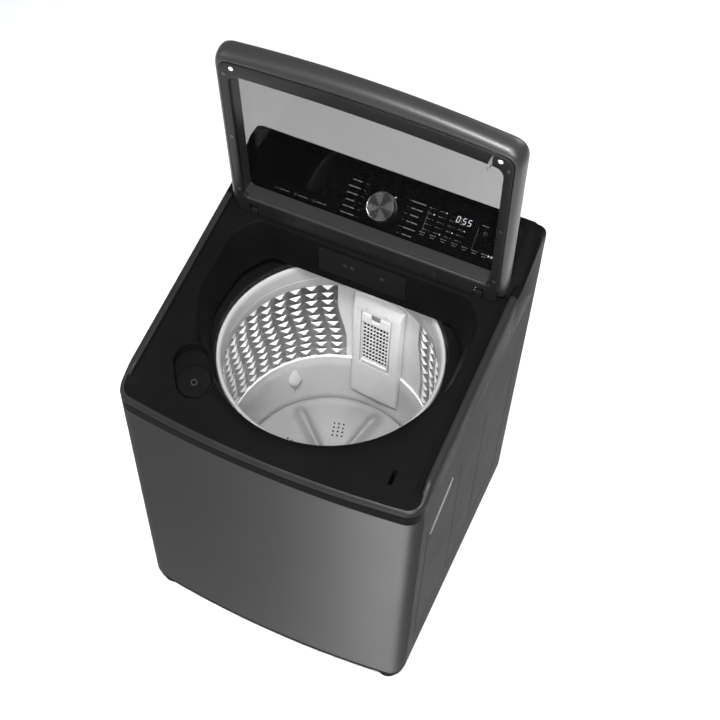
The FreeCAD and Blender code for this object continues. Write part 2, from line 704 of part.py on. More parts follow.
def lid_plan(half, start, end, bow, low, high, corner):
    """Plan of a lid layer: straight hinge end, bowed front end, rounded front corners."""
    half, start, end, bow = Size.of(half), Size.of(start), Size.of(end), Size.of(bow)
    radius = (half * half + bow * bow) / (bow * 2)
    centre = end + bow - radius
    body = doc.addObject("PartDesign::Body", fresh("lid"))
    sketch = new_sketch(body, "XY_Plane")
    points = [FreeCAD.Vector(-half.value, end.value, 0), FreeCAD.Vector(-half.value, start.value, 0),
              FreeCAD.Vector(half.value, start.value, 0), FreeCAD.Vector(half.value, end.value, 0)]
    for first, second in zip(points, points[1:]):
        sketch.addGeometry(Part.LineSegment(first, second), False)
    rise = end.value - centre.value
    circle = Part.Circle(FreeCAD.Vector(0, centre.value, 0), Z_AXIS, radius.value)
    arc = Part.ArcOfCircle(circle, math.atan2(rise, half.value), math.atan2(rise, -half.value))
    sketch.addGeometry(arc, False)
    for index in range(4):
        sketch.addConstraint(Sketcher.Constraint("Coincident", index, 2, (index + 1) % 4, 1))
    pinned = [
        ("DistanceX", 0, 1, -half), ("DistanceY", 0, 1, end), ("DistanceX", 0, 2, -half),
        ("DistanceY", 0, 2, start), ("DistanceX", 1, 2, half), ("DistanceY", 1, 2, start),
        ("DistanceX", 2, 2, half), ("DistanceX", 3, 3, Size.of(0)),
    ]
    for kind, shape, end_mark, size in pinned:
        mark = sketch.addConstraint(Sketcher.Constraint(kind, -1, 1, shape, end_mark, size.value))
        sketch.setExpression(f"Constraints[{mark}]", size.text)
    mark = sketch.addConstraint(Sketcher.Constraint("Radius", 3, radius.value))
    sketch.setExpression(f"Constraints[{mark}]", radius.text)
    padded(body, sketch, Size.of(high) - low)
    if corner:
        round_edges(body, [(lambda middle: middle.y > 100, Size.of(corner))])
    return place(body, z=low)


inner_depth = Size.of(9.0)


def hinge_notches():
    """Room in the lid for the fixed hinge sockets."""
    return [box(span(side * 243.5 - 10, side * Size.of(243.5) + 10), span(-20, 22), span(-60, 10))
            for side in SIDES]


def lid_parts():
    window = lid_plan(d.window_half, d.window_start, d.window_end, 10, -60, 10, 22)
    plate = lid_plan(d.lid_half, -d.lid_tail, d.lid_ridge, 12, -inner_depth, 0, 24)
    middle = Size.of(222)
    pin_holes = [cylinder_x(d.pin_radius, side * middle - 14, side * middle + 14, 0, -d.hinge_offset)
                 for side in SIDES]
    inner = cut(plate, window, *hinge_notches(), *pin_holes)
    node("lid_inner_frame", on_lid(inner))

    shell = lid_plan(d.lid_outer_half, 2, d.lid_front, d.lid_bow, -d.lid_thick, -inner_depth, 34)
    chamfer = prism("YZ_Plane", [(-20, -inner_depth - 6), (55, -70), (-20, -70)], -far, far)
    glass_seat = lid_plan(d.window_half + 8, d.window_start - 10, d.window_end + 8, 10,
                          -d.glass_depth - d.glass_thick - 20, -d.glass_depth, 26)
    window2 = lid_plan(d.window_half, d.window_start, d.window_end, 10, -60, 10, 22)
    hollow = lid_plan(d.lid_outer_half - 3, 6, d.lid_front - 3, d.lid_bow,
                      3 - d.lid_thick, 5 - inner_depth, 31)
    core = lid_plan(d.window_half + 11, d.window_start - 13, d.window_end + 11, 10, -60, 10, 29)
    hollow_chamfer = prism("YZ_Plane", [(-20, -inner_depth - 1), (60, -70), (-20, -70)], -far, far)
    outer = cut(shell, chamfer, glass_seat, window2, cut(hollow, core, hollow_chamfer),
                *hinge_notches(), *pin_holes)
    node("lid_outer_frame", on_lid(outer))

    glass = lid_plan(d.window_half + 7.7, d.window_start - 9.7, d.window_end + 7.7, 10,
                     -d.glass_depth - d.glass_thick, -d.glass_depth, 25.7)
    glass_chamfer = prism("YZ_Plane", [(-20, -inner_depth - 6), (55, -70), (-20, -70)], -far, far)
    node("lid_glass", on_lid(cut(glass, glass_chamfer)))

    blade = box(span(d.hook_x - 2, d.hook_x + 2), span(d.hook_u, d.hook_u + d.hook_length),
                span(0, d.hook_rise))
    eye = box(span(d.hook_x - 5, d.hook_x + 5), span(d.hook_u + 2, d.hook_u + d.hook_length - 2),
              span(d.hook_rise - 14, d.hook_rise - 4))
    node("lid_hook", on_lid(cut(blade, eye)))

    bumpers = []
    for side in SIDES:
        bumpers.append(cone(5, 3.4, 1.4, side * Size.of(256), 409, 0))
    node("lid_bumpers", on_lid(group(*bumpers)))

    screws = []
    for side in SIDES:
        for u in (60, 220, 391):
            screws.append(cylinder(3.6, 1.0, side * Size.of(272), u, 0))
    node("lid_screws", on_lid(group(*screws)))

    pins = []
    for side in SIDES:
        low = span(214, 250) if side > 0 else span(-250, -214)
        pins.append(cylinder_x(d.pin_radius, low[0], low[1], 0, -d.hinge_offset))
    node("hinge_pins", on_lid(group(*pins)))


def hinge_sockets():
    sockets = []
    for side in SIDES:
        middle = side * Size.of(243.5)
        block = fuse(cylinder_x(9, middle - 7.5, middle + 7.5, d.hinge_y, d.hinge_z),
                     box(span(middle - 7.5, middle + 7.5), span(d.hinge_y - 9, d.hinge_y + 9),
                         span(deck_height(d.deck_rear, 0.5), d.hinge_z)))
        bore = cylinder_x(d.pin_radius + d.running_gap, middle - 20, middle + 20, d.hinge_y, d.hinge_z)
        sockets.append(cut(block, bore))
    return node("hinge_sockets", group(*sockets))


# ---------------------------------------------------------------- washing unit
def tub():
    outside = d.tub_radius + d.tub_wall
    wall = turned_solid([
        (34, d.tub_floor), (outside, d.tub_floor), (outside, d.tub_top), (outside + 6, d.tub_top),
        (outside + 6, d.tub_top + 3), (d.tub_radius, d.tub_top + 3), (d.tub_radius, d.tub_floor + 4),
        (34, d.tub_floor + 4)], 0, d.drum_middle, 0)
    lugs, holes = [], []
    for side in SIDES:
        for reach in SIDES:
            x, y = side * d.rod_side, d.drum_middle + reach * d.rod_reach
            lug = cylinder(30, 26, x, y, d.lug_level)
            arm = box(span(-26, 26), span(-86, 0), span(d.lug_level, d.lug_level + 26))
            turn_about(arm, x, y, math.degrees(math.atan2(reach, side)) - 90, -26, -86)
            lugs += [lug, arm]
            holes.append(cylinder(d.cup_radius - 4, 60, x, y, d.lug_level - 10))
    inside = cylinder(d.tub_radius + 1, 200, 0, d.drum_middle, d.lug_level - 20)
    spout = cylinder(24, d.tub_floor + 2 - d.spout_low, d.pump_x, d.pump_y, d.spout_low)
    drain = cylinder(20, 80, d.pump_x, d.pump_y, d.tub_floor - 40)
    shell = cut(fuse(wall, spout), drain)
    brackets = cut(fuse(*lugs), inside, *holes)
    return node("outer_tub", fuse(shell, brackets))


def turn_about(obj, x, y, angle, dx, dy):
    """Swing a box whose corner sits at dx, dy from the turning point x, y."""
    turned = math.radians(angle)
    px = x + dx * math.cos(turned) - dy * math.sin(turned)
    py = y + dx * math.sin(turned) + dy * math.cos(turned)
    obj.setExpression("Placement.Base.x", px.text)
    obj.setExpression("Placement.Base.y", py.text)
    return turn(obj, Z_AXIS, angle)


def tub_ring():
    outside = d.tub_radius + d.tub_wall + 6
    low = d.tub_top + 3
    return node("tub_ring", turned_solid([
        (238, low + 10), (236, low + 14), (238, low + 17), (outside, low + 6), (outside, low),
        (d.tub_radius - 6, low)], 0, d.drum_middle, 0))


def drive_unit():
    axis = (0, d.drum_middle)
    gap = d.running_gap
    pivot_y, pivot_z = d.drum_middle - 50, 94
    housing = turned_solid([
        (26, 100), (40, 100), (44, 120), (120, 150), (120, d.tub_floor - 0.2), (33.8, d.tub_floor - 0.2),
        (33.8, d.tub_floor + 22), (26, d.tub_floor + 22)], *axis, 0)
    ears = [box(span(low, low + Size.of(5)), span(pivot_y - 5, pivot_y + 5), span(88, 128))
            for low in (-10.5, 5.5)]
    node("bearing_housing", fuse(housing, *ears, cylinder_x(2.0, -10, 10, pivot_y, pivot_z)))
    bearings = [cut(cylinder(26, 14, *axis, z), cylinder(d.spin_radius + gap, 40, *axis, z - Size.of(5)))
                for z in (106, 172)]
    node("bearings", group(*bearings))
    node("shaft_seal", cut(cylinder(26, 8, *axis, 189), cylinder(d.spin_radius + gap, 30, *axis, 180)))
    node("stator", turned_solid([(64, 86), (112, 86), (112, 110), (64, 110)], *axis, 0))
    # hollow spin shaft with the basket's hub on top
    node("spin_shaft", turned_solid([
        (d.shaft_radius + gap, 84), (d.spin_radius, 84), (d.spin_radius, 203), (40, 206), (110, 220),
        (110, d.base_floor), (d.shaft_radius + gap, d.base_floor)], *axis, 0))
    node("wash_shaft", turned_solid([
        (0, 66), (d.shaft_radius, 66), (d.shaft_radius, 262), (6, 262), (6, 292), (0, 292)], *axis, 0))
    node("rotor", turned_solid([
        (d.shaft_radius, 70), (d.rotor_radius, 70), (d.rotor_radius, 116), (d.rotor_radius - 6, 116),
        (d.rotor_radius - 6, 76), (20, 76), (20, 81), (d.shaft_radius, 81)], *axis, 0))
    node("clutch_slider", turned_solid([
        (d.spin_radius + gap, 90), (24, 90), (24, 93), (21, 93), (21, 96), (24, 96), (24, 99.6),
        (d.spin_radius + gap, 99.6)], *axis, 0))
    arm = fuse(box(span(-5, 5), span(pivot_y - 10, d.drum_middle - 25), span(pivot_z - 2, pivot_z + 2)),
               cylinder_x(4.5, -5, 5, pivot_y, pivot_z))
    node("clutch_lever", cut(arm, cylinder_x(2.05, -20, 20, pivot_y, pivot_z)))


def basket():
    axis = (0, d.drum_middle)
    node("balance_ring", turned_solid([
        (d.ring_bore, d.ring_bottom + 4), (d.ring_bore, d.ring_top - 8), (d.ring_bore + 3, d.ring_top - 2),
        (d.ring_bore + 5, d.ring_top), (d.ring_radius - 3, d.ring_top), (d.ring_radius, d.ring_top - 3),
        (d.ring_radius, d.ring_bottom), (d.ring_bore + 5, d.ring_bottom)], *axis, 0))
    inner = d.steel_radius - d.steel_wall
    wall = turned_solid([(inner, d.steel_bottom), (d.steel_radius, d.steel_bottom),
                         (d.steel_radius, d.ring_bottom), (inner, d.ring_bottom)], *axis, 0)
    node("basket_wall", wall)
    node("basket_base", turned_solid([
        (d.shaft_radius + 12, d.base_floor), (d.steel_radius - 8, d.base_floor),
        (d.steel_radius, d.base_floor + 20),
        (d.steel_radius, d.steel_bottom), (inner - 3, d.steel_bottom), (inner - 5, d.steel_bottom - 20),
        (d.base_bore + 1, d.base_well + 14), (d.base_bore, d.base_well), (d.base_bore, d.base_floor + 5),
        (d.shaft_radius + 12, d.base_floor + 5)], *axis, 0))


def on_basket(obj):
    """Turn a piece modelled behind the drum's axis to where the basket stands at rest."""
    return held(obj, 0, d.drum_middle, 0, Z_AXIS, d.channel_turn)


def channel_panel():
    face = d.channel_inner
    profile = prism("YZ_Plane", [(face, 330), (face, 640), (face + 14, 662), (240, 662), (240, 300),
                                 (face + 12, 300)], -d.channel_half, d.channel_half)
    limit = turned_solid([(0, 290), (216.5, 290), (222, 384), (224.5, 403.6), (228.6, 404.6), (228.6, 670),
                          (0, 670)])
    inside = box(span(3 - d.channel_half, d.channel_half - 3), span(face + 3, 213), span(345, 636))
    room = box(span(-d.filter_half - 0.5, d.filter_half + 0.5), span(face - 10, face + 12),
               span(d.filter_bottom - 4, d.filter_top + 0.5))
    knuckles = [box(span(low, low + Size.of(4)), span(face + 2, face + 10),
                    span(d.filter_bottom - 2, d.filter_bottom + 10)) for low in (-41, 37)]
    bore = cylinder_x(d.filter_pin + d.running_gap, -60, 60, face + 4, d.filter_bottom + 4)
    panel = cut(fuse(cut(common(profile, limit), inside, room), *knuckles), bore)
    node("channel_panel", on_basket(panel))


def lint_filter():
    face = d.channel_inner + 1
    frame = box(span(-d.filter_half, d.filter_half), span(face, face + 7),
                span(d.filter_bottom, d.filter_top))
    window = box(span(8 - d.filter_half, d.filter_half - 8), span(0, far),
                 span(d.filter_bottom + 12, d.filter_top - 34))
    latch_room = box(span(-11, 11), span(face - 5, face + 5.6), span(d.filter_top - 22, d.filter_top + 5))
    bars = [box(span(x - Size.of(2), x + Size.of(2)), span(face + 2, face + 5),
                span(d.filter_bottom + 5, d.filter_top - 30)) for x in (-18, -6, 6, 18)]
    pin = cylinder_x(d.filter_pin, -40.5, 40.5, face + 3, d.filter_bottom + 4)
    node("lint_filter", on_basket(fuse(cut(frame, window, latch_room), *bars, pin)))
    node("filter_latch", on_basket(box(span(-10, 10), span(face, face + 5),
                                       span(d.filter_top - 14, d.filter_top - 2))))


VANES = 6


def pulsator():
    axis = (0, d.drum_middle)
    level = d.pulsator_level
    edge = d.pulsator_radius
    plate = turned_solid([
        (6.05, level + 12), (20, level + 16), (34, level + 13), (70, level - 2), (150, level - 10),
        (edge - 6, level - 6), (edge - 6, level - 14), (edge, level - 14), (edge, level), (150, level - 4),
        (70, level + 6), (34, level + 22), (20, level + 26), (6.05, level + 26)], *axis, 0)
    vanes = []
    for index in range(VANES):
        bar = box(span(30, d.pulsator_radius - 22), span(-7, 7), span(level - 10, level + 16))
        swing = 360.0 / VANES * index + 18
        vanes.append(turn_about(bar, Size.of(0), d.drum_middle, swing, 30, -7))
    node("pulsator", fuse(plate, cut(fuse(*vanes), cylinder(20, 60, *axis, level - 12))))
    node("pulsator_screw", cut(cylinder(12, 6, *axis, level + 26), cylinder(6.05, 40, *axis, level)))


def suspension():
    rods, springs, cups, brackets = [], [], [], []
    for side in SIDES:
        for reach in SIDES:
            x, y = side * d.rod_side, d.drum_middle + reach * d.rod_reach
            rods.append(fuse(cylinder(d.rod_radius, d.rod_top - d.rod_bottom, x, y, d.rod_bottom),
                             ball(9, x, y, d.rod_top), cylinder(17, 6, x, y, d.rod_bottom)))
            springs.append(cut(cylinder(14, 84, x, y, d.rod_bottom + 6),
                               cylinder(10, 100, x, y, d.rod_bottom)))
            cups.append(cut(fuse(cylinder(d.cup_radius - 4.2, 34, x, y, d.lug_level - 6),
                                 cylinder(d.cup_radius + 2, 6, x, y, d.lug_level - 6)),
                            cylinder(d.rod_radius + 0.6, 80, x, y, d.lug_level - 20)))
            seat = cut(box(span(x - 20, x + 20), span(y - 20, y + 20), span(d.rod_top - 12, d.rod_top - 3)),
                       cylinder(d.rod_radius + 1, 60, x, y, d.rod_top - 30), ball(9.3, x, y, d.rod_top))
            wall_x = side * (half_width - d.sheet - 0.2)
            low, high = (wall_x, x) if side < 0 else (x, wall_x)
            web = cut(box(span(low, high), span(y - 20, y + 20), span(d.rod_top - 12, d.rod_top - 7)),
                      cylinder(d.rod_radius + 1, 60, x, y, d.rod_top - 30), ball(9.3, x, y, d.rod_top))
            brackets.append(fuse(seat, web))
    node("suspension_rods", group(*rods))
    node("suspension_springs", group(*springs))
    node("damper_cups", group(*cups))
    node("suspension_brackets", group(*brackets))


def drain():
    x, y = d.pump_x, d.pump_y
    foot = d.base_top
    body = fuse(cylinder(36, 34, x, y, foot + 10), box(span(x - 40, x + 40), span(y - 38, y + 38),
                                                       span(foot, foot + 10)),
                cylinder(24, 10, x, y, d.pump_top - 10))
    chamber = cylinder(30, 22, x, y, foot + 14)
    inlet = cylinder(18, 60, x, y, foot + 30)
    side_port = cylinder_y(8, y + 20, y + 60, x, foot + 26)
    axle = cylinder(3.0, 18, x, y, foot + 13)
    node("drain_pump", fuse(cut(body, chamber, inlet, side_port), axle))
    hub = cylinder(6, 15, x, y, foot + 16)
    blades = [turn_about(box(span(4, 26), span(-1.2, 1.2), span(foot + 16, foot + 31)), x, y, angle, 4, -1.2)
              for angle in range(0, 360, 60)]
    node("pump_impeller", cut(fuse(hub, *blades), cylinder(3.05, 60, x, y, foot)))
    node("sump_hose", cut(cylinder(28, d.spout_low - d.pump_top, x, y, d.pump_top),
                          cylinder(20, 60, x, y, d.pump_top - 5)))
    turn_y = 300
    low = cylinder_y(11, y + 36.5, turn_y, x, foot + 26)
    knee = ball(11, x, turn_y, foot + 26)
    rise = cylinder(11, 640 - foot - 26, x, turn_y, foot + 26)
    top = ball(13.5, x, turn_y, 640)
    neck = cylinder_y(13.5, turn_y, d.rear - 23, x, 640)
    spigot = cylinder_y(15, d.rear - 23, d.rear - 0.2, x, 640)
    bore = cylinder_y(11, turn_y - 6, d.rear + 5, x, 640)
    node("drain_hose", cut(fuse(low, knee, rise, top, neck, spigot), bore))


def cover_screws():
    screws = [cylinder_y(4.5, d.rear - 3.2, d.rear - 0.05, x, z) for x, z in SCREWS]
    return node("cover_screws", group(*screws))


front_panel()
side_panel(-1, "side_panel_left")
side_panel(1, "side_panel_right")
side_grips()
rear_panel()
cover_screws()
cord_gland()
base_frame()
feet()
top_cover()
bleach_cap()
console_housing()
console_fascia()
knob()
encoder()
control_board()
dispenser()
valves()
pressure_sensor()
lid_lock()
lid_parts()
hinge_sockets()
tub()
tub_ring()
drive_unit()
basket()
channel_panel()
lint_filter()
pulsator()
suspension()
drain()
doc.recompute()

# ---------------------------------------------------------------- check and write
for obj in doc.Objects:
    if "Invalid" in obj.State or "Error" in obj.State:
        raise RuntimeError(f"{obj.Label} did not build: {obj.State}")
for name, obj in nodes.items():
    shape = obj.Shape
    if shape.isNull() or not shape.isValid() or not shape.Solids:
        raise RuntimeError(f"{name} is not a valid solid")
    shape.exportStep(f"parts/{name}.step")
    corner = shape.BoundBox
    print(f"{name}: {len(shape.Solids)} solid(s), {shape.Volume / 1000:.1f} cm3, "
          f"x {corner.XMin:.0f}..{corner.XMax:.0f} y {corner.YMin:.0f}..{corner.YMax:.0f} "
          f"z {corner.ZMin:.0f}..{corner.ZMax:.0f}")
print(f"{len(nodes)} nodes")
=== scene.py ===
import bpy
import bmesh
import json
import math
import numpy as np
from mathutils import Matrix, Vector


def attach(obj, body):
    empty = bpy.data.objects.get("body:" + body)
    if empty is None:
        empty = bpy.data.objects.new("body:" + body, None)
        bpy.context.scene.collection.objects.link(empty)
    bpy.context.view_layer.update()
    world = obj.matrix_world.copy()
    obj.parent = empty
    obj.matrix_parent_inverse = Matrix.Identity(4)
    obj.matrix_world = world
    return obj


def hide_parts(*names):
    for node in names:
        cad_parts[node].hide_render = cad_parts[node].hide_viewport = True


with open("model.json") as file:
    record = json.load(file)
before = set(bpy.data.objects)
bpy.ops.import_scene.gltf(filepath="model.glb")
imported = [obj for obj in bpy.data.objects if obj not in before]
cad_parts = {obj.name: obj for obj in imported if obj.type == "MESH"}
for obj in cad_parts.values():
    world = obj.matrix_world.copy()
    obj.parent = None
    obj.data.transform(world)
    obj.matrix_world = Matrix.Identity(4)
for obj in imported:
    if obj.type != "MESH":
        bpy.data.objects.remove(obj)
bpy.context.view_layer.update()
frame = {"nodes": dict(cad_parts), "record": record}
nodes = frame["nodes"]
MM = 0.001
SENSOR_WIDTH = 36.0
FOCAL_LENGTH = 67.37
CAMERA_TURN = (2.476788934, 0.549802858, -0.140298825)
CAMERA_PLACE = (0.6588, -1.4394, 2.9661)

# ------------------------------------------------------------------ camera
scene = bpy.context.scene


def add_object(name, data):
    obj = bpy.data.objects.new(name, data)
    scene.collection.objects.link(obj)
    return obj


camera_data = bpy.data.cameras.new("camera")
camera_data.sensor_width = SENSOR_WIDTH
camera_data.lens = FOCAL_LENGTH
camera = add_object("camera", camera_data)
turn_vector = Vector(CAMERA_TURN)
view_rows = Matrix.Rotation(turn_vector.length, 3, turn_vector.normalized())
camera_axes = Matrix((view_rows[0], -view_rows[1], -view_rows[2])).transposed()
camera.matrix_world = Matrix.Translation(CAMERA_PLACE) @ camera_axes.to_4x4()
scene.camera = camera


# ------------------------------------------------------------------ materials
def tree_of(name):
    mat = bpy.data.materials.new(name)
    mat.use_nodes = True
    tree = mat.node_tree
    tree.nodes.clear()
    out = tree.nodes.new("ShaderNodeOutputMaterial")
    shader = tree.nodes.new("ShaderNodeBsdfPrincipled")
    tree.links.new(shader.outputs[0], out.inputs[0])
    return mat, tree, shader


def noise(tree, scale, stretch=(1, 1, 1), detail=4.0, rough=0.6):
    place = tree.nodes.new("ShaderNodeTexCoord")
    mapping = tree.nodes.new("ShaderNodeMapping")
    mapping.inputs["Scale"].default_value = stretch
    tree.links.new(place.outputs["Object"], mapping.inputs[0])
    tex = tree.nodes.new("ShaderNodeTexNoise")
    tex.inputs["Scale"].default_value = scale
    tex.inputs["Detail"].default_value = detail
    tex.inputs["Roughness"].default_value = rough
    tree.links.new(mapping.outputs[0], tex.inputs["Vector"])
    return tex.outputs[0]


def remap(tree, source, low, high, start=0.3, end=0.7):
    node = tree.nodes.new("ShaderNodeMapRange")
    for key, value in (("From Min", start), ("From Max", end), ("To Min", low), ("To Max", high)):
        node.inputs[key].default_value = value
    tree.links.new(source, node.inputs[0])
    return node.outputs[0]


def tinted(tree, source, base, spread):
    ramp = tree.nodes.new("ShaderNodeValToRGB")
    ramp.color_ramp.elements[0].position = 0.3
    ramp.color_ramp.elements[1].position = 0.7
    ramp.color_ramp.elements[0].color = [channel * (1 - spread) for channel in base] + [1]
    ramp.color_ramp.elements[1].color = [min(1, channel * (1 + spread)) for channel in base] + [1]
    tree.links.new(source, ramp.inputs[0])
    return ramp.outputs[0]


def finish(name, base, rough, metal=0.0, grain=900.0, bump=0.12, spread=0.12, wander=0.06,
           stretch=(1, 1, 1), edge=0.0012, **more):
    """A procedural finish: fine grain, slow handling marks and softened edges."""
    mat, tree, shader = tree_of(name)
    fine = noise(tree, grain, stretch)
    slow = noise(tree, 9.0, (1, 1, 1), 3.0)
    tree.links.new(tinted(tree, slow, base, spread), shader.inputs["Base Color"])
    tree.links.new(remap(tree, slow, rough - wander, rough + wander), shader.inputs["Roughness"])
    shader.inputs["Metallic"].default_value = metal
    relief = tree.nodes.new("ShaderNodeBump")
    relief.inputs["Strength"].default_value = bump
    relief.inputs["Distance"].default_value = 0.0004
    tree.links.new(fine, relief.inputs["Height"])
    if edge:
        soft = tree.nodes.new("ShaderNodeBevel")
        soft.samples = 4
        soft.inputs["Radius"].default_value = edge
        tree.links.new(soft.outputs[0], relief.inputs["Normal"])
    tree.links.new(relief.outputs[0], shader.inputs["Normal"])
    for key, value in more.items():
        shader.inputs[key.replace("_", " ")].default_value = value
    return mat


cover_mat = finish("cover_satin_plastic", (0.0042, 0.0042, 0.0044), 0.40, grain=1500, bump=0.14, IOR=1.055)
# A lighter, glossier copy of the cover plastic: painted sheen along the rim crest, also used on the lid
# plugs.
painted_sheen_plastic_mat = finish("rim_satin_plastic_painted_sheen", (0.013, 0.013, 0.0135), 0.32, grain=1500, bump=0.10, IOR=1.2)
steel_mat = finish("brushed_dark_steel", (0.080, 0.080, 0.081), 0.50, metal=0.92, grain=260, bump=0.04,
                   spread=0.03, wander=0.01, stretch=(0.3, 0.3, 26), edge=0, Anisotropic=0.95,
                   Anisotropic_Rotation=0.25, Specular_Tint=(0.3, 0.3, 0.3, 1.0))
grip_mat = finish("grip_plastic", (0.075, 0.075, 0.077), 0.42, grain=900, bump=0.06, spread=0.05, edge=0)
side_mat = finish("side_paint", (0.010, 0.010, 0.0104), 0.45, grain=700, bump=0.03, spread=0.04, wander=0.02,
                  edge=0.0008, IOR=1.06)
lid_mat = finish("lid_satin_plastic", (0.006, 0.006, 0.0065), 0.40, grain=1400, bump=0.12, wander=0.02,
                 Specular_IOR_Level=0.24)
bar_mat = finish("lid_bar_gloss", (0.017, 0.017, 0.0175), 0.36, metal=0.1, grain=900, bump=0.04, spread=0.03,
                 wander=0.01)
fascia_mat = finish("fascia_gloss", (0.0045, 0.0045, 0.0048), 0.34, grain=500, bump=0.0, spread=0.1,
                    wander=0.02, IOR=1.12)
black_mat = finish("moulded_black", (0.006, 0.006, 0.006), 0.5, grain=1100, bump=0.2, IOR=1.08)
drawer_mat = finish("drawer_satin", (0.0052, 0.0052, 0.0055), 0.42, grain=1500, bump=0.16, IOR=1.24)
rubber_mat = finish("soft_rubber", (0.008, 0.008, 0.008), 0.72, grain=600, bump=0.3, IOR=1.08)
pale_rubber_mat = finish("pale_rubber", (0.62, 0.62, 0.62), 0.6, grain=600, bump=0.2)
zinc_mat = finish("galvanised_sheet", (0.42, 0.43, 0.44), 0.42, metal=0.85, grain=45, bump=0.05, spread=0.09,
                  wander=0.03)
bright_mat = finish("plated_steel", (0.62, 0.62, 0.63), 0.26, metal=1.0, grain=400, bump=0.06)
dark_screw_mat = finish("plated_dark", (0.10, 0.10, 0.10), 0.32, metal=0.9, grain=500, bump=0.05)
white_mat = finish("moulded_white", (0.68, 0.68, 0.66), 0.42, grain=900, bump=0.1)
board_mat = finish("board_green", (0.02, 0.10, 0.05), 0.35, grain=300, bump=0.2)
hose_mat = finish("grey_hose", (0.22, 0.22, 0.23), 0.6, grain=60, bump=0.6, stretch=(0.2, 0.2, 3))
cast_mat = finish("die_cast", (0.46, 0.46, 0.47), 0.5, metal=0.9, grain=350, bump=0.3)
iron_mat = finish("dark_iron", (0.09, 0.09, 0.095), 0.55, metal=0.8, grain=300, bump=0.3)
tub_mat = finish("tub_plastic", (0.42, 0.42, 0.41), 0.5, grain=500, bump=0.15)
ring_mat = finish("ring_plastic", (0.34, 0.34, 0.345), 0.34, grain=900, bump=0.08, spread=0.06)
pulsator_mat = finish("pulsator_plastic", (0.25, 0.25, 0.253), 0.34, grain=700, bump=0.08, spread=0.06)
basket_mat = finish("basket_plastic", (0.46, 0.46, 0.463), 0.40, grain=700, bump=0.08, spread=0.07)
filter_mat = finish("filter_plastic", (0.60, 0.60, 0.605), 0.36, grain=900, bump=0.08, spread=0.05)
drum_mat = finish("embossed_steel", (0.48, 0.48, 0.48), 0.28, metal=1.0, grain=300, bump=0.03, spread=0.05,
                  wander=0.04, edge=0)
# Lit and shaded copies of the embossed steel: a near-white one painted as highlight on the studs' upper
# facets, a dark one painted as shade on their lower facets.
painted_highlight_steel_mat = finish("embossed_steel_painted_highlight", (0.98, 0.98, 0.98), 0.24, metal=0.12, grain=300, bump=0.03,
                   spread=0.03, wander=0.04, edge=0)
painted_shade_steel_mat = finish("embossed_steel_painted_shade", (0.07, 0.07, 0.07), 0.30, metal=1.0, grain=300, bump=0.03,
                 spread=0.2, wander=0.04, edge=0)
flat_mat = finish("plain_steel", (0.80, 0.80, 0.80), 0.32, metal=0.5, grain=300, bump=0.03, spread=0.04,
                  wander=0.03, edge=0)
knob_mat = finish("spun_metal", (0.80, 0.80, 0.805), 0.27, metal=1.0, grain=300, bump=0.05, edge=0.0006)
latch_mat = finish("latch_plastic", (0.16, 0.16, 0.163), 0.36, grain=900, bump=0.08, spread=0.05)
# Light grey for the ring round the side grips: a painted highlight on the recess rim.
grip_rim_highlight_mat = finish("grip_edge_painted_highlight", (0.20, 0.20, 0.205), 0.35, grain=900, bump=0.05, edge=0)
mark_mat = finish("drawer_print", (0.035, 0.035, 0.036), 0.5, grain=900, bump=0.02, edge=0)
# Printed legends given a faint glow of their own: painted light that lifts them behind the tinted glass.
legend_glow_mat = finish("legend_grey_painted_glow", (0.55, 0.55, 0.55), 0.5, grain=900, bump=0.02, edge=0,
                    Emission_Color=(0.95, 0.97, 1.0, 1.0), Emission_Strength=0.13)
lit_mat = finish("legend_lit", (0.85, 0.85, 0.87), 0.4, grain=900, bump=0.02, edge=0,
                 Emission_Color=(0.9, 0.94, 1.0, 1.0), Emission_Strength=2.6)

glass_mat = finish("tinted_glass", (0.002, 0.002, 0.0022), 0.04, grain=30, bump=0.003, wander=0.015, edge=0,
                   Alpha=0.46, IOR=1.16)

FINISH = {
    "front_steel": steel_mat, "side_paint": side_mat, "galvanised": zinc_mat, "black_plastic": black_mat,
    "rubber": rubber_mat, "rubber_pale": pale_rubber_mat, "cover_plastic": cover_mat,
    "drawer_plastic": drawer_mat, "fascia_glass": fascia_mat, "board": board_mat, "white_plastic": white_mat,
    "grey_hose": hose_mat, "steel_bright": bright_mat, "steel_dark": dark_screw_mat, "knob_metal": knob_mat,
    "lid_plastic": lid_mat, "lid_gloss": bar_mat, "tinted_glass": glass_mat, "tub_plastic": tub_mat,
    "cast_alu": cast_mat, "iron": iron_mat, "ring_plastic": ring_mat, "drum_steel": drum_mat,
    "basket_plastic": basket_mat, "filter_plastic": filter_mat,
}
OVERRIDE = {"hinge_pins": dark_screw_mat, "side_grips": grip_mat}
slot_of = {part["node"]: part["material_slot"] for part in frame["record"]["subparts"]}
for name, obj in nodes.items():
    obj.data.materials.clear()
    obj.data.materials.append(OVERRIDE.get(name) or FINISH[slot_of[name]])


# ------------------------------------------------------------------ mesh helpers
def piece(name, verts, faces, mat, body, stands_for=(), sharp=32):
    """A finished mesh from points in millimetres, riding on a CAD body."""
    data = bpy.data.meshes.new(name)
    points = [tuple(float(c) * MM for c in v) for v in verts]
    data.from_pydata(points, [], [tuple(map(int, f)) for f in faces])
    solid = bmesh.new()
    solid.from_mesh(data)
    bmesh.ops.remove_doubles(solid, verts=solid.verts, dist=1e-6)
    bmesh.ops.recalc_face_normals(solid, faces=solid.faces)
    solid.to_mesh(data)
    solid.free()
    data.materials.append(mat)
    shade(data, sharp)
    obj = add_object(name, data)
    if body:
        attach(obj, body)
    if stands_for:
        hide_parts(*stands_for)
    return obj


def shade(data, sharp):
    data.polygons.foreach_set("use_smooth", [True] * len(data.polygons))
    data.set_sharp_from_angle(angle=math.radians(sharp))


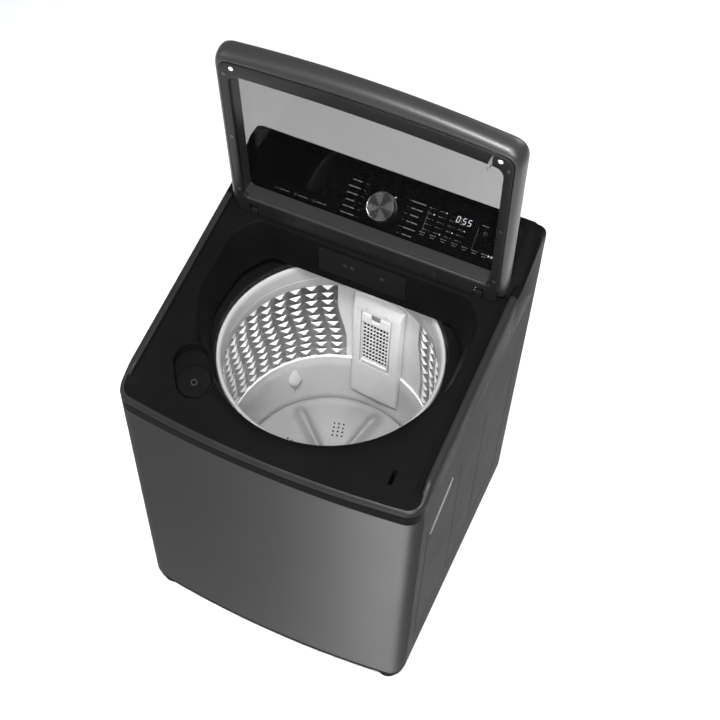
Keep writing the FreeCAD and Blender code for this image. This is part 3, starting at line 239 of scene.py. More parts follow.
def sweep_faces(rows, cols, wrap_rows, wrap_cols):
    faces = []
    for i in range(rows if wrap_rows else rows - 1):
        for j in range(cols if wrap_cols else cols - 1):
            k, l = (i + 1) % rows, (j + 1) % cols
            faces.append((i * cols + j, i * cols + l, k * cols + l, k * cols + j))
    return faces


def loft(name, rings, mat, body, stands_for=(), wrap_rows=False, wrap_cols=True, sharp=32):
    """Skin through rings of points; each ring has the same number of points."""
    rings = np.asarray(rings, dtype=float)
    rows, cols = rings.shape[:2]
    faces = sweep_faces(rows, cols, wrap_rows, wrap_cols)
    if not wrap_rows:
        faces += [tuple(range(cols)), tuple(range((rows - 1) * cols, rows * cols))]
    return piece(name, rings.reshape(-1, 3), faces, mat, body, stands_for, sharp)


def revolve(name, profile, mat, body, stands_for=(), count=180):
    """Closed ring body: (radius, height) outline turned about the drum's axis."""
    rings = []
    for step in range(count):
        angle = 2 * math.pi * step / count
        rings.append([(r * math.cos(angle), AXIS_Y + r * math.sin(angle), z) for r, z in profile])
    return loft(name, rings, mat, body, stands_for, wrap_rows=True)


def rounded_path(points, radii, count=5):
    """Closed outline with each corner eased by a short curve of about the given radius."""
    result = []
    total = len(points)
    for index, point in enumerate(points):
        here = np.array(point, float)
        radius = radii[index] if hasattr(radii, "__len__") else radii
        if radius <= 0:
            result.append(here)
            continue
        before = np.array(points[index - 1], float) - here
        after = np.array(points[(index + 1) % total], float) - here
        reach_in = min(radius, np.linalg.norm(before) * 0.48)
        reach_out = min(radius, np.linalg.norm(after) * 0.48)
        start = here + before / np.linalg.norm(before) * reach_in
        end = here + after / np.linalg.norm(after) * reach_out
        for step in range(count + 1):
            t = step / count
            result.append((1 - t) ** 2 * start + 2 * t * (1 - t) * here + t * t * end)
    return [tuple(p) for p in result]


def apply(obj, sharp=32):
    """Bake the modifiers into the mesh."""
    graph = bpy.context.evaluated_depsgraph_get()
    baked = bpy.data.meshes.new_from_object(obj.evaluated_get(graph))
    obj.modifiers.clear()
    obj.data = baked
    shade(baked, sharp)


def carve(obj, cutters, sharp=32):
    for cutter in cutters:
        tool = obj.modifiers.new("cut", "BOOLEAN")
        tool.object = cutter
        tool.operation = "DIFFERENCE"
        tool.solver = "EXACT"
    bpy.context.view_layer.update()
    apply(obj, sharp)
    for cutter in cutters:
        bpy.data.objects.remove(cutter, do_unlink=True)


BLOCK_FACES = [(0, 2, 3, 1), (4, 5, 7, 6), (0, 1, 5, 4), (2, 6, 7, 3), (0, 4, 6, 2), (1, 3, 7, 5)]


def block(x, y, z, turn=None):
    """A plain cutter in millimetres, with its points turned into place if a function is given."""
    verts = [(x[i & 1], y[i >> 1 & 1], z[i >> 2 & 1]) for i in range(8)]
    return piece("cutter", [turn(*v) if turn else v for v in verts], BLOCK_FACES, black_mat, None)


def prism_faces(start, count):
    """Faces of an upright-sided slab whose two outlines of count points follow each other."""
    sides = [(start + i, start + (i + 1) % count, start + count + (i + 1) % count, start + count + i)
             for i in range(count)]
    ends = [tuple(start + i for i in range(count)), tuple(start + 2 * count - 1 - i for i in range(count))]
    return ends + sides


def smooth_step(low, high, value):
    t = np.clip((value - low) / (high - low), 0, 1)
    return t * t * (3 - 2 * t)


def deck(y):
    """Height of the cover's sloping top at a depth."""
    return 884.4 + 0.1963 * (y - 131)


def face_z(y):
    """Height of the console's sloping face at a depth."""
    return 885 + 0.9 * (y - 158)


AXIS_Y = -12.0
CENTRE = np.array([0.0, AXIS_Y])
SEAM = 156.0
SIDE = 320.0
BOW_Y = 2079.4
BOW_RADIUS = 2414.4
CORNER_X = 284.0
CORNER_Y = -282.0
CORNER_RADIUS = 36.0
LIP_LEVEL = 776.0
LIP_RADIUS = 244.0
PANEL_TOP = 758.0
REAR_START = 771.0
BACK = 131.0
POCKET_RADIUS = 36.0


# ------------------------------------------------------------------ top cover
def rounded_box(x, y, x0, x1, y0, y1, r):
    """Signed distance to a rounded rectangle."""
    qx = abs(x - (x0 + x1) / 2) - (x1 - x0) / 2 + r
    qy = abs(y - (y0 + y1) / 2) - (y1 - y0) / 2 + r
    return math.hypot(max(qx, 0), max(qy, 0)) + min(max(qx, qy), 0) - r


def blend_union(a, b, k=18.0):
    h = max(k - abs(a - b), 0) / k
    return min(a, b) - h * h * k / 4


def mouth(x, y, radius, half, corner):
    circle = math.hypot(x, y - AXIS_Y) - radius
    back = rounded_box(x, y, -half, half, -100, BACK, corner)
    return max(blend_union(circle, back), y - BACK)


def reach(direction, test):
    """Distance from the drum's axis, along a direction, to where test turns positive."""
    low, high = 100.0, 380.0
    for _ in range(34):
        middle = (low + high) / 2
        if test(*(CENTRE + direction * middle)) > 0:
            high = middle
        else:
            low = middle
    return CENTRE + direction * low


def outline_columns():
    """Points of the cover's plan with inward normals, round the front from back left to back right."""
    columns = []
    for y in np.linspace(SEAM, CORNER_Y, 46):
        columns.append(((-SIDE, y), (1.0, 0.0)))
    for angle in np.radians(np.linspace(180, 263.1, 18))[1:]:
        out = np.array([math.cos(angle), math.sin(angle)])
        columns.append((tuple(np.array([-CORNER_X, CORNER_Y]) + CORNER_RADIUS * out), tuple(-out)))
    for angle in np.radians(np.linspace(-96.9, -83.1, 40))[1:-1]:
        out = np.array([math.cos(angle), math.sin(angle)])
        columns.append((tuple(np.array([0, BOW_Y]) + BOW_RADIUS * out), tuple(-out)))
    mirrored = [((-p[0], p[1]), (-n[0], n[1])) for p, n in reversed(columns[:63])]
    return columns + mirrored


SIDE_RIM = [(0, -10), (0, 4), (0.5, 8), (1.8, 11.3), (4, 13.8), (7, 15), (11, 15.2), (14.5, 14.8),
            (16.6, 13), (17.6, 10), (18, 7.5), (19, 6.2), (22, 5.4), (27, 3.0), (31, 0.9), (34, 0)]
FRONT_RIM = [(0, -18), (0, -9), (0.6, -6), (1.9, -3.6), (3.7, -1.9), (6.2, -0.7), (9, -0.1), (12, 0),
             (15, 0), (18, 0), (20, 0), (22, 0), (25, 0), (28, 0), (31, 0), (34, 0)]


def cover_section(point, inward, rear):
    """One column of the top cover, from its lower outer edge over the deck into the well."""
    point, inward = np.array(point), np.array(inward)
    section = []
    if rear:
        top = deck(point[1])
        for step in range(17):
            section.append((point[0], point[1], REAR_START + (top - REAR_START) * step / 16))
        start = point
    else:
        section.append((point[0], point[1], PANEL_TOP))
        share = float(smooth_step(-300, -245, point[1]))
        for (s0, rise0), (s1, rise1) in zip(FRONT_RIM, SIDE_RIM):
            s = s0 + (s1 - s0) * share
            at = point + inward * s
            section.append((at[0], at[1], deck(at[1]) + rise0 + (rise1 - rise0) * share))
        start = point + inward * 34
    direction = start - CENTRE
    direction = direction / np.linalg.norm(direction)
    top_radius = 252.0
    for _ in range(4):
        y = (CENTRE + direction * top_radius)[1]
        top_radius = LIP_RADIUS + 41 * (deck(y) - LIP_LEVEL) / 124
    lip = reach(direction, lambda x, y: mouth(x, y, LIP_RADIUS, 247, 80))
    edge = reach(direction, lambda x, y: mouth(x, y, min(top_radius, 266), 267, 66))
    if np.dot(lip - CENTRE, direction) > np.dot(edge - CENTRE, direction) - 0.4:
        lip = edge - direction * 0.4
    lip_z = LIP_LEVEL + 8 * float(smooth_step(90, 128, lip[1]))
    room = np.linalg.norm(start - edge)
    soft = min(4 + 24 * float(smooth_step(-60, -190, edge[1])), room * 0.85)
    for share in (0.35, 0.7, 1.0):
        at = start + (edge - start) * (1 - soft / room) * share
        section.append((at[0], at[1], deck(at[1])))
    high = np.array([edge[0], edge[1], deck(edge[1])])
    low = np.array([lip[0], lip[1], lip_z])
    out = np.array(section[-1])
    down = high + (low - high) / np.linalg.norm(low - high) * min(soft, 0.8 * np.linalg.norm(low - high))
    for step in range(1, 8):
        t = step / 7
        section.append(tuple((1 - t) ** 2 * out + 2 * t * (1 - t) * high + t * t * down))
    for share in (0.33, 0.66, 0.96):
        section.append(tuple(down + (low - down) * share))
    foot = np.array([direction[0], direction[1], 0.0])
    section.append(tuple(low + foot * -1.2 + np.array([0, 0, -1.6])))
    section.append(tuple(low + foot * -1.2 + np.array([0, 0, -4.5])))
    return section


def edge_distance(x, y):
    """How far a point of the cover's plan lies inside its outer edge."""
    if y > CORNER_Y:
        return SIDE - x
    if x > CORNER_X:
        return CORNER_RADIUS - math.hypot(x - CORNER_X, y - CORNER_Y)
    return BOW_RADIUS - math.hypot(x, y - BOW_Y)


def top_cover():
    columns = [cover_section(p, n, False) for p, n in outline_columns()]
    for x in np.linspace(286, -286, 64):
        columns.append(cover_section((x, SEAM), (0, -1), True))
    cover = loft("top_cover_shell", columns, cover_mat, "cabinet", ("top_cover",), wrap_rows=True,
                 wrap_cols=False, sharp=40)
    data = cover.data
    highest = max(data.polygons, key=lambda face: abs(face.normal.z) * face.area)
    if highest.normal.z < 0:
        data.flip_normals()
    # Faces along the rim's crest take the lighter, glossier copy of the cover plastic: a painted highlight
    # along the crest.
    data.materials.append(painted_sheen_plastic_mat)
    for face in data.polygons:
        x, y, z = [c / MM for c in face.center]
        share = float(smooth_step(-300, -245, y))
        if y < SEAM - 0.5 and edge_distance(abs(x), y) < 8 + 8 * share and z - deck(y) > 18 * share - 9:
            face.material_index = 1
    skin = cover.modifiers.new("wall", "SOLIDIFY")
    skin.thickness = 0.0024
    skin.offset = -1
    skin.use_even_offset = False
    apply(cover, 40)
    pocket_tool = pocket("cutter", POCKET_RADIUS, [(0.0, 14), (0.0, -40)], black_mat)
    slot_tool = block((238.2, 246.2), (-275, -244), (740, 900))
    drawer_tool = block((-97.6, 97.6), (120, 170), (800, 872))
    carve(cover, [pocket_tool, slot_tool, drawer_tool], 40)


def hull_ring(radius, drop, count=14):
    """One level of the bleach pocket's outline: two round wells joined, laid on the deck."""
    first, second = np.array([-213.0, -195.0]), np.array([-188.0, -232.0])
    along = (second - first) / np.linalg.norm(second - first)
    heading = math.atan2(along[1], along[0])
    ring = []
    for middle, base in ((first, heading + math.pi / 2), (second, heading - math.pi / 2)):
        for step in range(count + 1):
            angle = base + math.pi * step / count
            x, y = middle + radius * np.array([math.cos(angle), math.sin(angle)])
            ring.append((x, y, deck(y) + drop))
    return ring


def pocket(name, radius, levels, mat, body=None):
    rings = [hull_ring(radius + grow, drop) for grow, drop in levels]
    return loft(name, rings, mat, body)


top_cover()
pocket("bleach_pocket", POCKET_RADIUS, [
    (-1.5, -24.5), (-0.2, -22), (-0.15, -2), (-0.5, -0.6), (0.2, 0.25), (1.6, 0.55), (2.8, 0.3),
    (3.2, -0.4), (3.0, -3), (2.0, -3.2), (2.0, -24), (0.5, -27), (-1.5, -27)], cover_mat, "cabinet")


# ------------------------------------------------------------------ console
CREST = face_z(271) + 4
REAR = 335
CROWN_RADIUS = 45
BACK_RADIUS = 32
EDGE_RADIUS = 2.5


def console_ring(x, inset, extra):
    """Side view of the console at one distance from the middle, rounded and trimmed by crown and corner."""
    outline = rounded_path([
        (SEAM + inset, PANEL_TOP - extra), (SEAM + inset, 888.6), (158 + inset, 889 - inset),
        (271, CREST - inset * 1.2), (281 - inset, CREST - inset * 1.2), (298 - inset, CREST - 31),
        (REAR - inset, 800), (REAR - inset, PANEL_TOP - extra)],
        [0, 1, 2, 5, 7, 24, 30, 2], 5)
    side = max(abs(x) + inset - (SIDE - CROWN_RADIUS), 0)
    top = CREST - inset - (CROWN_RADIUS - math.sqrt(max(CROWN_RADIUS ** 2 - side ** 2, 0)))
    side = max(abs(x) + inset - (SIDE - BACK_RADIUS), 0)
    back = REAR - inset - (BACK_RADIUS - math.sqrt(max(BACK_RADIUS ** 2 - side ** 2, 0)))
    return [(x, min(y, back), min(z, top)) for y, z in outline]


def console_solid(name, inset, extra, body, stands_for=()):
    half = SIDE - inset
    bend = np.sin(np.linspace(0, math.pi / 2, 22))[1:]
    stations = np.concatenate([np.linspace(0, half - 48, 12), half - 48 + 48 * bend])
    stations = list(-stations[:0:-1]) + list(stations)
    rings = []
    for x in stations:
        ring = np.array(console_ring(x, inset, extra))
        away = half - abs(x)
        if inset == 0 and away < EDGE_RADIUS:
            shrink = EDGE_RADIUS - math.sqrt(max(EDGE_RADIUS ** 2 - (EDGE_RADIUS - away) ** 2, 0))
            middle = np.array([x, 250.0, 850.0])
            ring[:, 1:] -= shrink * np.sign(ring[:, 1:] - middle[1:]) * [0.6, 0.6]
            ring[:, 1] = np.maximum(ring[:, 1], SEAM)
            ring[:, 2] = np.maximum(ring[:, 2], PANEL_TOP)
        rings.append(ring)
    return loft(name, rings, cover_mat, body, stands_for)


TILT = math.radians(41.987)
KNOB_Y = 222.7
FACE_UP = np.array([0, -math.sin(TILT), math.cos(TILT)])
FACE_ALONG = np.array([0, math.cos(TILT), math.sin(TILT)])


def on_face(x, y, u=0.0, v=0.0, up=0.0):
    """Point on the console face: x and y place it, u and v shift it in the face, up lifts it off."""
    base = np.array([x + u, y, face_z(y)])
    return tuple(base + FACE_ALONG * v + FACE_UP * up)


def face_plate(name, half, low, high, radius, bottom, top, mat, body):
    """A flat plate with round corners lying on the console face."""
    corners = rounded_path([(-half, low), (half, low), (half, high), (-half, high)], radius * 1.6, 10)
    rings = [[on_face(0, 158, u, v, level) for u, v in corners] for level in (bottom, top)]
    return loft(name, rings, mat, body)


def console():
    body = console_solid("console_shell", 0, 0, "cabinet", ("console_housing",))
    hollow = console_solid("cutter", 3.4, 12, None)
    recess = face_plate("cutter", 286, 4, 146, 14, -3.05, 30, black_mat, None)
    doorway = block((-101.5, 101.5), (140, 176), (796, 876))
    ring_room = block((-215, 215), (150, 164), (750, 772))
    tail = block((-299, 299), (150, 160.4), (886, 940))
    carve(body, [hollow, recess, doorway, ring_room, tail])


console()


def cheek(side):
    """The side rim carried on from the top cover until it runs into the console."""
    rings = []
    for y in np.linspace(SEAM + 0.2, 196, 14):
        ring = [(side * (319.94 - s), y, deck(y) + rise) for s, rise in SIDE_RIM[1:11]]
        ring += [(side * 302.34, y, 860.0), (side * 319.94, y, 860.0)]
        rings.append(ring)
    loft(f"console_cheek_{'left' if side < 0 else 'right'}", rings, cover_mat, "cabinet")


for side in (-1, 1):
    cheek(side)


# ------------------------------------------------------------------ printed console
class Print:
    """Collects thin raised marks on the console face and makes them one piece."""

    def __init__(self):
        self.verts = []
        self.faces = []

    def patch(self, outline):
        start = len(self.verts)
        count = len(outline)
        for level in (0.02, 0.14):
            for x, y, u, v in outline:
                self.verts.append(on_face(x, y, u, v, level))
        self.faces.append(tuple(start + i for i in reversed(range(count))))
        self.faces.append(tuple(start + count + i for i in range(count)))
        for i in range(count):
            j = (i + 1) % count
            self.faces.append((start + i, start + j, start + count + j, start + count + i))

    def bar(self, x, y, wide, tall, lean=0.0):
        c, s = math.cos(lean), math.sin(lean)
        u, v = wide / 2, tall / 2
        corners = rounded_path([(-u, -v), (u, -v), (u, v), (-u, v)], min(wide, tall) * 0.3, 2)
        self.patch([(x, y, u * c - v * s, u * s + v * c) for u, v in corners])

    def dot(self, x, y, radius):
        angles = np.linspace(0, 2 * math.pi, 13)[:-1]
        self.patch([(x, y, radius * math.cos(a), radius * math.sin(a)) for a in angles])

    def ring(self, x, y, radius, wide, start=0.0, end=2 * math.pi, count=20):
        angles = np.linspace(start, end, count + 1)
        for a, b in zip(angles, angles[1:]):
            self.patch([(x, y, r * math.cos(t), r * math.sin(t))
                        for r, t in ((radius, a), (radius + wide, a), (radius + wide, b), (radius, b))])

    def words(self, x, y, wide, tall, pattern):
        """A row of short bars where a printed name would stand."""
        total = sum(pattern) + 0.6 * (len(pattern) - 1)
        at = x - wide / 2
        for share in pattern:
            long = wide * share / total
            self.bar(at + long / 2, y, long, tall)
            at += long + wide * 0.6 / total

    def digit(self, x, y, wide, tall, number, slant=0.12):
        """A plain seven-bar digit."""
        lit = {0: "abcdef", 5: "afgcd"}[number]
        t = wide * 0.2
        spots = {"a": (0, tall / 2, 0), "g": (0, 0, 0), "d": (0, -tall / 2, 0),
                 "f": (-wide / 2, tall / 4, 1), "b": (wide / 2, tall / 4, 1),
                 "e": (-wide / 2, -tall / 4, 1), "c": (wide / 2, -tall / 4, 1)}
        for key in lit:
            u, v, upright = spots[key]
            long, thick = (t, tall / 2 - t * 0.5) if upright else (wide - t * 0.5, t)
            a, b = long / 2, thick / 2
            corners = ((-a, -b), (a, -b), (a, b), (-a, b))
            self.patch([(x, y, u + du + (v + dv) * slant, v + dv) for du, dv in corners])

    def make(self, name, mat):
        return piece(name, self.verts, self.faces, mat, "cabinet")


def legends():
    grey, lit = Print(), Print()
    for index, share in enumerate(np.linspace(0, 1, 6)):
        y_left, y_right = 248 - 51 * share, 247 - 51 * share
        x_left, x_right = -57 - 3 * math.sin(share * math.pi), 59 - 12 * share * 0.3
        widths = (20, 26, 23, 18, 25, 30)
        left_words = ((3, 4), (5,), (4, 3), (6,), (3, 3), (4, 5))[index]
        right_words = ((5,), (3, 4), (6,), (2, 4), (5,), (4, 3))[index]
        grey.words(x_left - 8, y_left, widths[index], 1.9, left_words)
        grey.words(x_right + 10, y_right, widths[-1 - index], 1.9, right_words)
        grey.bar(x_left + 14, y_left, 5, 0.6)
        grey.bar(x_right - 9, y_right, 5, 0.6)
    lit.bar(17, 241.6, 11, 1.6, math.radians(38))
    for column, x in enumerate((105, 128, 151, 173)):
        for row in range(5):
            y = 246.5 - 8.2 * row
            if column > 1 and row == 0:
                continue
            bright = (row + column) % 4 == 1
            (lit if bright else grey).dot(x, y, 1.3 if bright else 0.8)
            grey.words(x - 9, y, 9, 1.1, (2, 1))
    for index, number in enumerate((0, 5, 5)):
        lit.digit(154 + index * 11 + (2 if index else 0), 244, 5.6, 11.5, number)
    for v in (-2.6, 2.6):
        lit.dot(160.6, 244 + v * 0.74, 0.6)
    for x in (94, 116, 139, 162, 184, 205, 226):
        grey.words(x, 208.5, 13, 1.2, (3, 2))
        grey.words(x, 205.0, 9, 1.0, (2,))
    grey.ring(214, 238, 3.0, 0.7, math.radians(130), math.radians(410))
    grey.bar(214, 240, 0.8, 3.4)
    lit.bar(240, 208, 1.0, 4.6)
    lit.bar(242.4, 208, 1.0, 4.6)
    lit.patch([(235.6, 208, -2.2, -2.3), (235.6, 208, 1.8, 0), (235.6, 208, -2.2, 2.3)])
    for x in (92, 198, 246):
        grey.bar(x, 226, 0.35, 46)
    grey.words(210, 247.5, 14, 1.7, (3, 2))
    for x in (-222, -180, -139):
        grey.ring(x, 197.5, 2.2, 0.5)
        grey.words(x + 17, 197.5, 22, 1.3, (4, 3))
    grey.make("console_legends", legend_glow_mat)
    lit.make("console_display", lit_mat)


legends()


def knob():
    """Turned metal knob with a dark foot ring; the light and dark wedges on its top are painted highlight,
    laid on by the function after this one.
    """
    angles = np.linspace(0, 2 * math.pi, 97)[:-1]

    def rings(profile):
        return [[on_face(0, KNOB_Y, r * math.cos(a), r * math.sin(a), h) for a in angles]
                for r, h in profile]

    loft("knob_body", rings([
        (31.5, 0.9), (31.5, 4.0), (30.6, 4.9), (30.2, 5.2), (29.2, 17.8), (28.5, 19.2), (27.6, 19.7),
        (26.8, 19.5), (26, 19.1), (14, 18.5), (0.4, 18.4)]), knob_mat, "knob", ("knob",), sharp=20)
    foot = rings([(31.9, 0.5), (31.9, 3.6), (31.5, 4.2), (30.0, 4.3), (30.0, 0.5)])
    loft("knob_foot", foot, black_mat, "knob")


def paint_sunray_highlights():
    """Painted highlight on the knob: its base colour turns lighter and darker in wedges round its own axis,
    standing in for the reflections of a spun finish.
    """
    tree = knob_mat.node_tree
    shader = next(node for node in tree.nodes if node.type == "BSDF_PRINCIPLED")
    place = tree.nodes.new("ShaderNodeTexCoord")
    shift = tree.nodes.new("ShaderNodeVectorMath")
    shift.operation = "SUBTRACT"
    shift.inputs[1].default_value = [c * MM for c in on_face(0, KNOB_Y)]
    tree.links.new(place.outputs["Object"], shift.inputs[0])
    spin = tree.nodes.new("ShaderNodeVectorRotate")
    spin.rotation_type = "X_AXIS"
    spin.inputs["Angle"].default_value = -TILT
    tree.links.new(shift.outputs[0], spin.inputs["Vector"])
    split = tree.nodes.new("ShaderNodeSeparateXYZ")
    tree.links.new(spin.outputs[0], split.inputs[0])
    heading = tree.nodes.new("ShaderNodeMath")
    heading.operation = "ARCTAN2"
    tree.links.new(split.outputs[1], heading.inputs[0])
    tree.links.new(split.outputs[0], heading.inputs[1])
    fan = tree.nodes.new("ShaderNodeMath")
    fan.operation = "MULTIPLY"
    fan.inputs[1].default_value = 4.0
    tree.links.new(heading.outputs[0], fan.inputs[0])
    wave = tree.nodes.new("ShaderNodeMath")
    wave.operation = "SINE"
    tree.links.new(fan.outputs[0], wave.inputs[0])
    tree.links.new(tinted(tree, remap(tree, wave.outputs[0], 0, 1, -1, 1), (0.72, 0.72, 0.73), 0.5),
                   shader.inputs["Base Color"])


knob()
paint_sunray_highlights()


# ------------------------------------------------------------------ lid
LEAN = math.radians(94.45)
LID_FOOT = np.array([0, 137.42416, 896.37928])
LID_UP = np.array([0, math.cos(LEAN), math.sin(LEAN)])
LID_IN = np.array([0, -math.sin(LEAN), math.cos(LEAN)])


def on_lid(x, u, depth):
    """Point of the lid: u runs from the hinge to the front edge, depth is out of the inner face."""
    return tuple(LID_FOOT + np.array([x, 0, 0]) + LID_UP * u + LID_IN * depth)


def lid_curve(half, start, end, bow, corner, hinge_corner):
    """Closed plan curve with matching points, from the right side round the front to the hinge."""
    radius = (half * half + bow * bow) / (2 * bow)

    def front(x):
        return end + bow - radius + math.sqrt(radius * radius - x * x)

    low, high = start + hinge_corner, end - corner
    points = [(half, low + (high - low) * t) for t in np.linspace(0, 1, 24)]
    tip = (half - corner, front(half - corner))
    hold = np.array([half, front(half) + (tip[1] - front(half)) * 0.45])
    begin = np.array([half, end - corner])
    for t in np.linspace(0, 1, 14)[1:]:
        points.append(tuple((1 - t) ** 2 * begin + 2 * t * (1 - t) * hold + t * t * np.array(tip)))
    for t in np.linspace(1, -1, 50)[1:-1]:
        x = t * (half - corner)
        points.append((x, front(x)))
    points += [(-x, u) for x, u in reversed(points[:37])]
    for t in np.linspace(-1, 1, 44):
        points.append((t * (half - hinge_corner), start))
    return np.array(points)


INNER = lid_curve(264, 42, 388, 10, 22, 8)
MIDDLE = lid_curve(281, -8, 420, 12, 24, 3)
SHOULDER = lid_curve(281, 14, 420, 12, 24, 4)
OUTER = lid_curve(296, 2, 436, 21, 34, 6)


def lid_sweep(name, profile, mat, stands_for, between):
    """Run a closed outline (place between the plan curves, depth) round the lid."""
    rings = []
    for inner, middle, outer in zip(INNER, between, OUTER):
        ring = []
        for place, depth in profile:
            if place <= 1:
                x, u = inner + (middle - inner) * place
            else:
                x, u = middle + (outer - middle) * (place - 1)
            if depth < -9.5:
                depth = max(depth, -15 - (u + 20) * 0.7333)
            if between is SHOULDER and u < 20:
                depth = min(depth, -9.2)
            ring.append(on_lid(x, u, depth))
        rings.append(ring)
    return loft(name, rings, mat, "lid", stands_for, wrap_rows=True, sharp=38)


def notches():
    """Cutters for the two gaps in which the hinge sockets stand."""
    return [block((middle - 10, middle + 10), (-22, 22), (-60, 12), on_lid) for middle in (-243.5, 243.5)]


def lid():
    inner = lid_sweep("lid_inner", [
        (0, -9), (0, -1.6), (0.02, -0.7), (0.07, -0.15), (0.12, 0), (0.9, 0), (0.96, -0.2), (1, -1), (1, -9)],
        lid_mat, ("lid_inner_frame",), MIDDLE)
    # A strip of the inner frame along the window's hinge-side edge takes the lighter gloss of the outer bar:
    # a painted highlight.
    inner.data.materials.append(bar_mat)
    for face in inner.data.polygons:
        up = (np.array(face.center) / MM - LID_FOOT) @ LID_UP
        if 30 < up < 42.6:
            face.material_index = 1
    carve(inner, notches())
    outer = lid_sweep("lid_outer", [
        (0, -33.8), (0, -9.2), (1.0, -9.2), (1.01, -3.2), (1.06, -1.7), (1.16, -1.0), (1.32, -1.4),
        (1.5, -3.2), (1.66, -6), (1.8, -10), (1.9, -15), (1.97, -21), (2, -27), (1.98, -33), (1.92, -37.5),
        (1.8, -40.6), (1.62, -41.8), (1.4, -42), (0.62, -42), (0.5, -41.2), (0.42, -38), (0.42, -33.8)],
        bar_mat, ("lid_outer_frame",), SHOULDER)
    carve(outer, notches())
    for index, x in enumerate((-150, 0, 150)):
        button(f"lid_plug_{index + 1}", x, 12)


def button(name, x, u):
    """Small round plug on the lid's hinge bar."""
    rings = []
    angles = np.linspace(0, 2 * math.pi, 25)[:-1]
    for r, z in ((3.6, 0.05), (3.5, 0.7), (3.0, 1.1), (0.2, 1.25)):
        rings.append([on_lid(x + r * math.cos(a), u + r * math.sin(a), z) for a in angles])
    loft(name, rings, painted_sheen_plastic_mat, "lid")


lid()


# ------------------------------------------------------------------ basket
TURN = math.radians(-4.3)


def drum_point(radius, angle, z):
    """Point at a distance and heading from the drum's axis."""
    return (radius * math.cos(angle), AXIS_Y + radius * math.sin(angle), z)


def wall_angle(degrees, z):
    """Angle of a line on the steel wall: upright at the top, easing over half way down."""
    return math.radians(degrees - 5.6 * (1 - float(smooth_step(468, 616, z))))


def drum_wall():
    """Embossed steel wall: columns of four-sided studs with pierced, wavy strips between them; each stud's
    upper facet gets a near-white copy of the steel as painted highlight and its lower facet a dark copy as
    painted shade.
    """
    low, high, radius, pitch = 404.0, 680.0, 229.2, 26.05
    first, step, flat_start, flat_step, hole = 112.5, 9, 59.6, 1.725, 1.5
    levels = [410.5 + pitch * k for k in range(11)]
    plain, lit_facets, shaded_facets, flat = ([], []), ([], []), ([], []), ([], [])

    def add(part, degrees, z, rise=0.0):
        part[0].append(drum_point(radius - rise, wall_angle(degrees, z), z))
        return len(part[0]) - 1

    def quad(part, left, right, bottom, top):
        part[1].append((add(part, left, bottom), add(part, right, bottom),
                        add(part, right, top), add(part, left, top)))

    for j in range(34):
        strip = first + step * j
        left, right = strip + 1.1, strip + 7.9
        quad(plain, left, right, low, levels[0])
        quad(plain, left, right, levels[-1], high)
        for bottom, top in zip(levels, levels[1:]):
            middle = ((left + right) / 2, (bottom + top) / 2, 3.4)
            corners = ((left, bottom), (right, bottom), (right, top), (left, top))
            # Lower facet of each stud takes the painted shade copy, upper facet the painted highlight copy,
            # side facets the plain steel.
            for side, part in enumerate((shaded_facets, plain, lit_facets, plain)):
                start, end = corners[side], corners[(side + 1) % 4]
                part[1].append((add(part, *start), add(part, *end), add(part, *middle)))
    cells = np.linspace(low, high, 16)
    for j in range(35):
        strip = first + step * j
        for bottom, top in zip(cells, cells[1:]):
            z = (bottom + top) / 2
            corner = [add(plain, strip + a, b, -0.05)
                      for a, b in ((-1.15, bottom), (1.15, bottom), (1.15, top), (-1.15, top))]
            rim = []
            for i in range(8):
                a = math.radians(-112.5 + 45 * i)
                across = math.degrees(hole * math.cos(a) / radius)
                rim.append(add(plain, strip + across, z + hole * math.sin(a), -0.05))
            for i in range(4):
                plain[1].append((corner[i], corner[(i + 1) % 4], rim[2 * i + 1], rim[2 * i]))
                plain[1].append((corner[(i + 1) % 4], rim[(2 * i + 2) % 8], rim[2 * i + 1]))
    for left in np.arange(flat_start, 111.0, flat_step):
        for bottom, top in zip(cells, cells[1:]):
            quad(flat, left, left + flat_step, bottom, top)
    walls = (("drum_wall", plain, drum_mat, ("basket_wall",)), ("drum_wall_painted_highlight", lit_facets, painted_highlight_steel_mat, ()),
             ("drum_wall_painted_shade", shaded_facets, painted_shade_steel_mat, ()), ("drum_wall_flat", flat, flat_mat, ()))
    for name, part, mat, stands_for in walls:
        wall = piece(name, part[0], part[1], mat, "basket", stands_for, sharp=14)
        skin = wall.modifiers.new("sheet", "SOLIDIFY")
        skin.thickness = 0.0006
        skin.offset = 0
        apply(wall, 14)


drum_wall()
revolve("balance_ring_body", [
    (222.4, 679.6), (221.6, 681.5), (221.4, 704.6), (222.2, 705.2), (222.2, 706.8), (221.4, 707.4),
    (221.5, 733), (221.9, 738), (223.0, 742.6), (224.6, 745.8), (226.6, 747.6), (228.6, 748),
    (230.2, 747.4), (231.4, 746), (232, 743.6), (232, 684), (231.2, 681), (230, 680)],
    ring_mat, "basket", ("balance_ring",), count=240)
# The band at the foot of the wall takes the near-white copy of the steel: a painted highlight.
revolve("basket_band", [
    (229.0, 404), (226.6, 404.6), (225.6, 407), (225.9, 409.6), (227.2, 410.8), (229.0, 411)],
    painted_highlight_steel_mat, "basket", count=200)
revolve("basket_bowl", [
    (21.2, 232.2), (222, 232.2), (229, 246), (229.9, 256), (229.9, 403.4), (227.9, 403.6),
    (227.2, 402.6), (226.6, 399), (225.9, 388), (224.8, 384.6), (224.5, 370), (223.4, 344),
    (221.9, 318), (220.2, 294), (218.8, 277), (217.8, 268.5), (217.2, 262), (217.1, 237.5),
    (21.2, 237.4)], basket_mat, "basket", ("basket_base",), count=200)


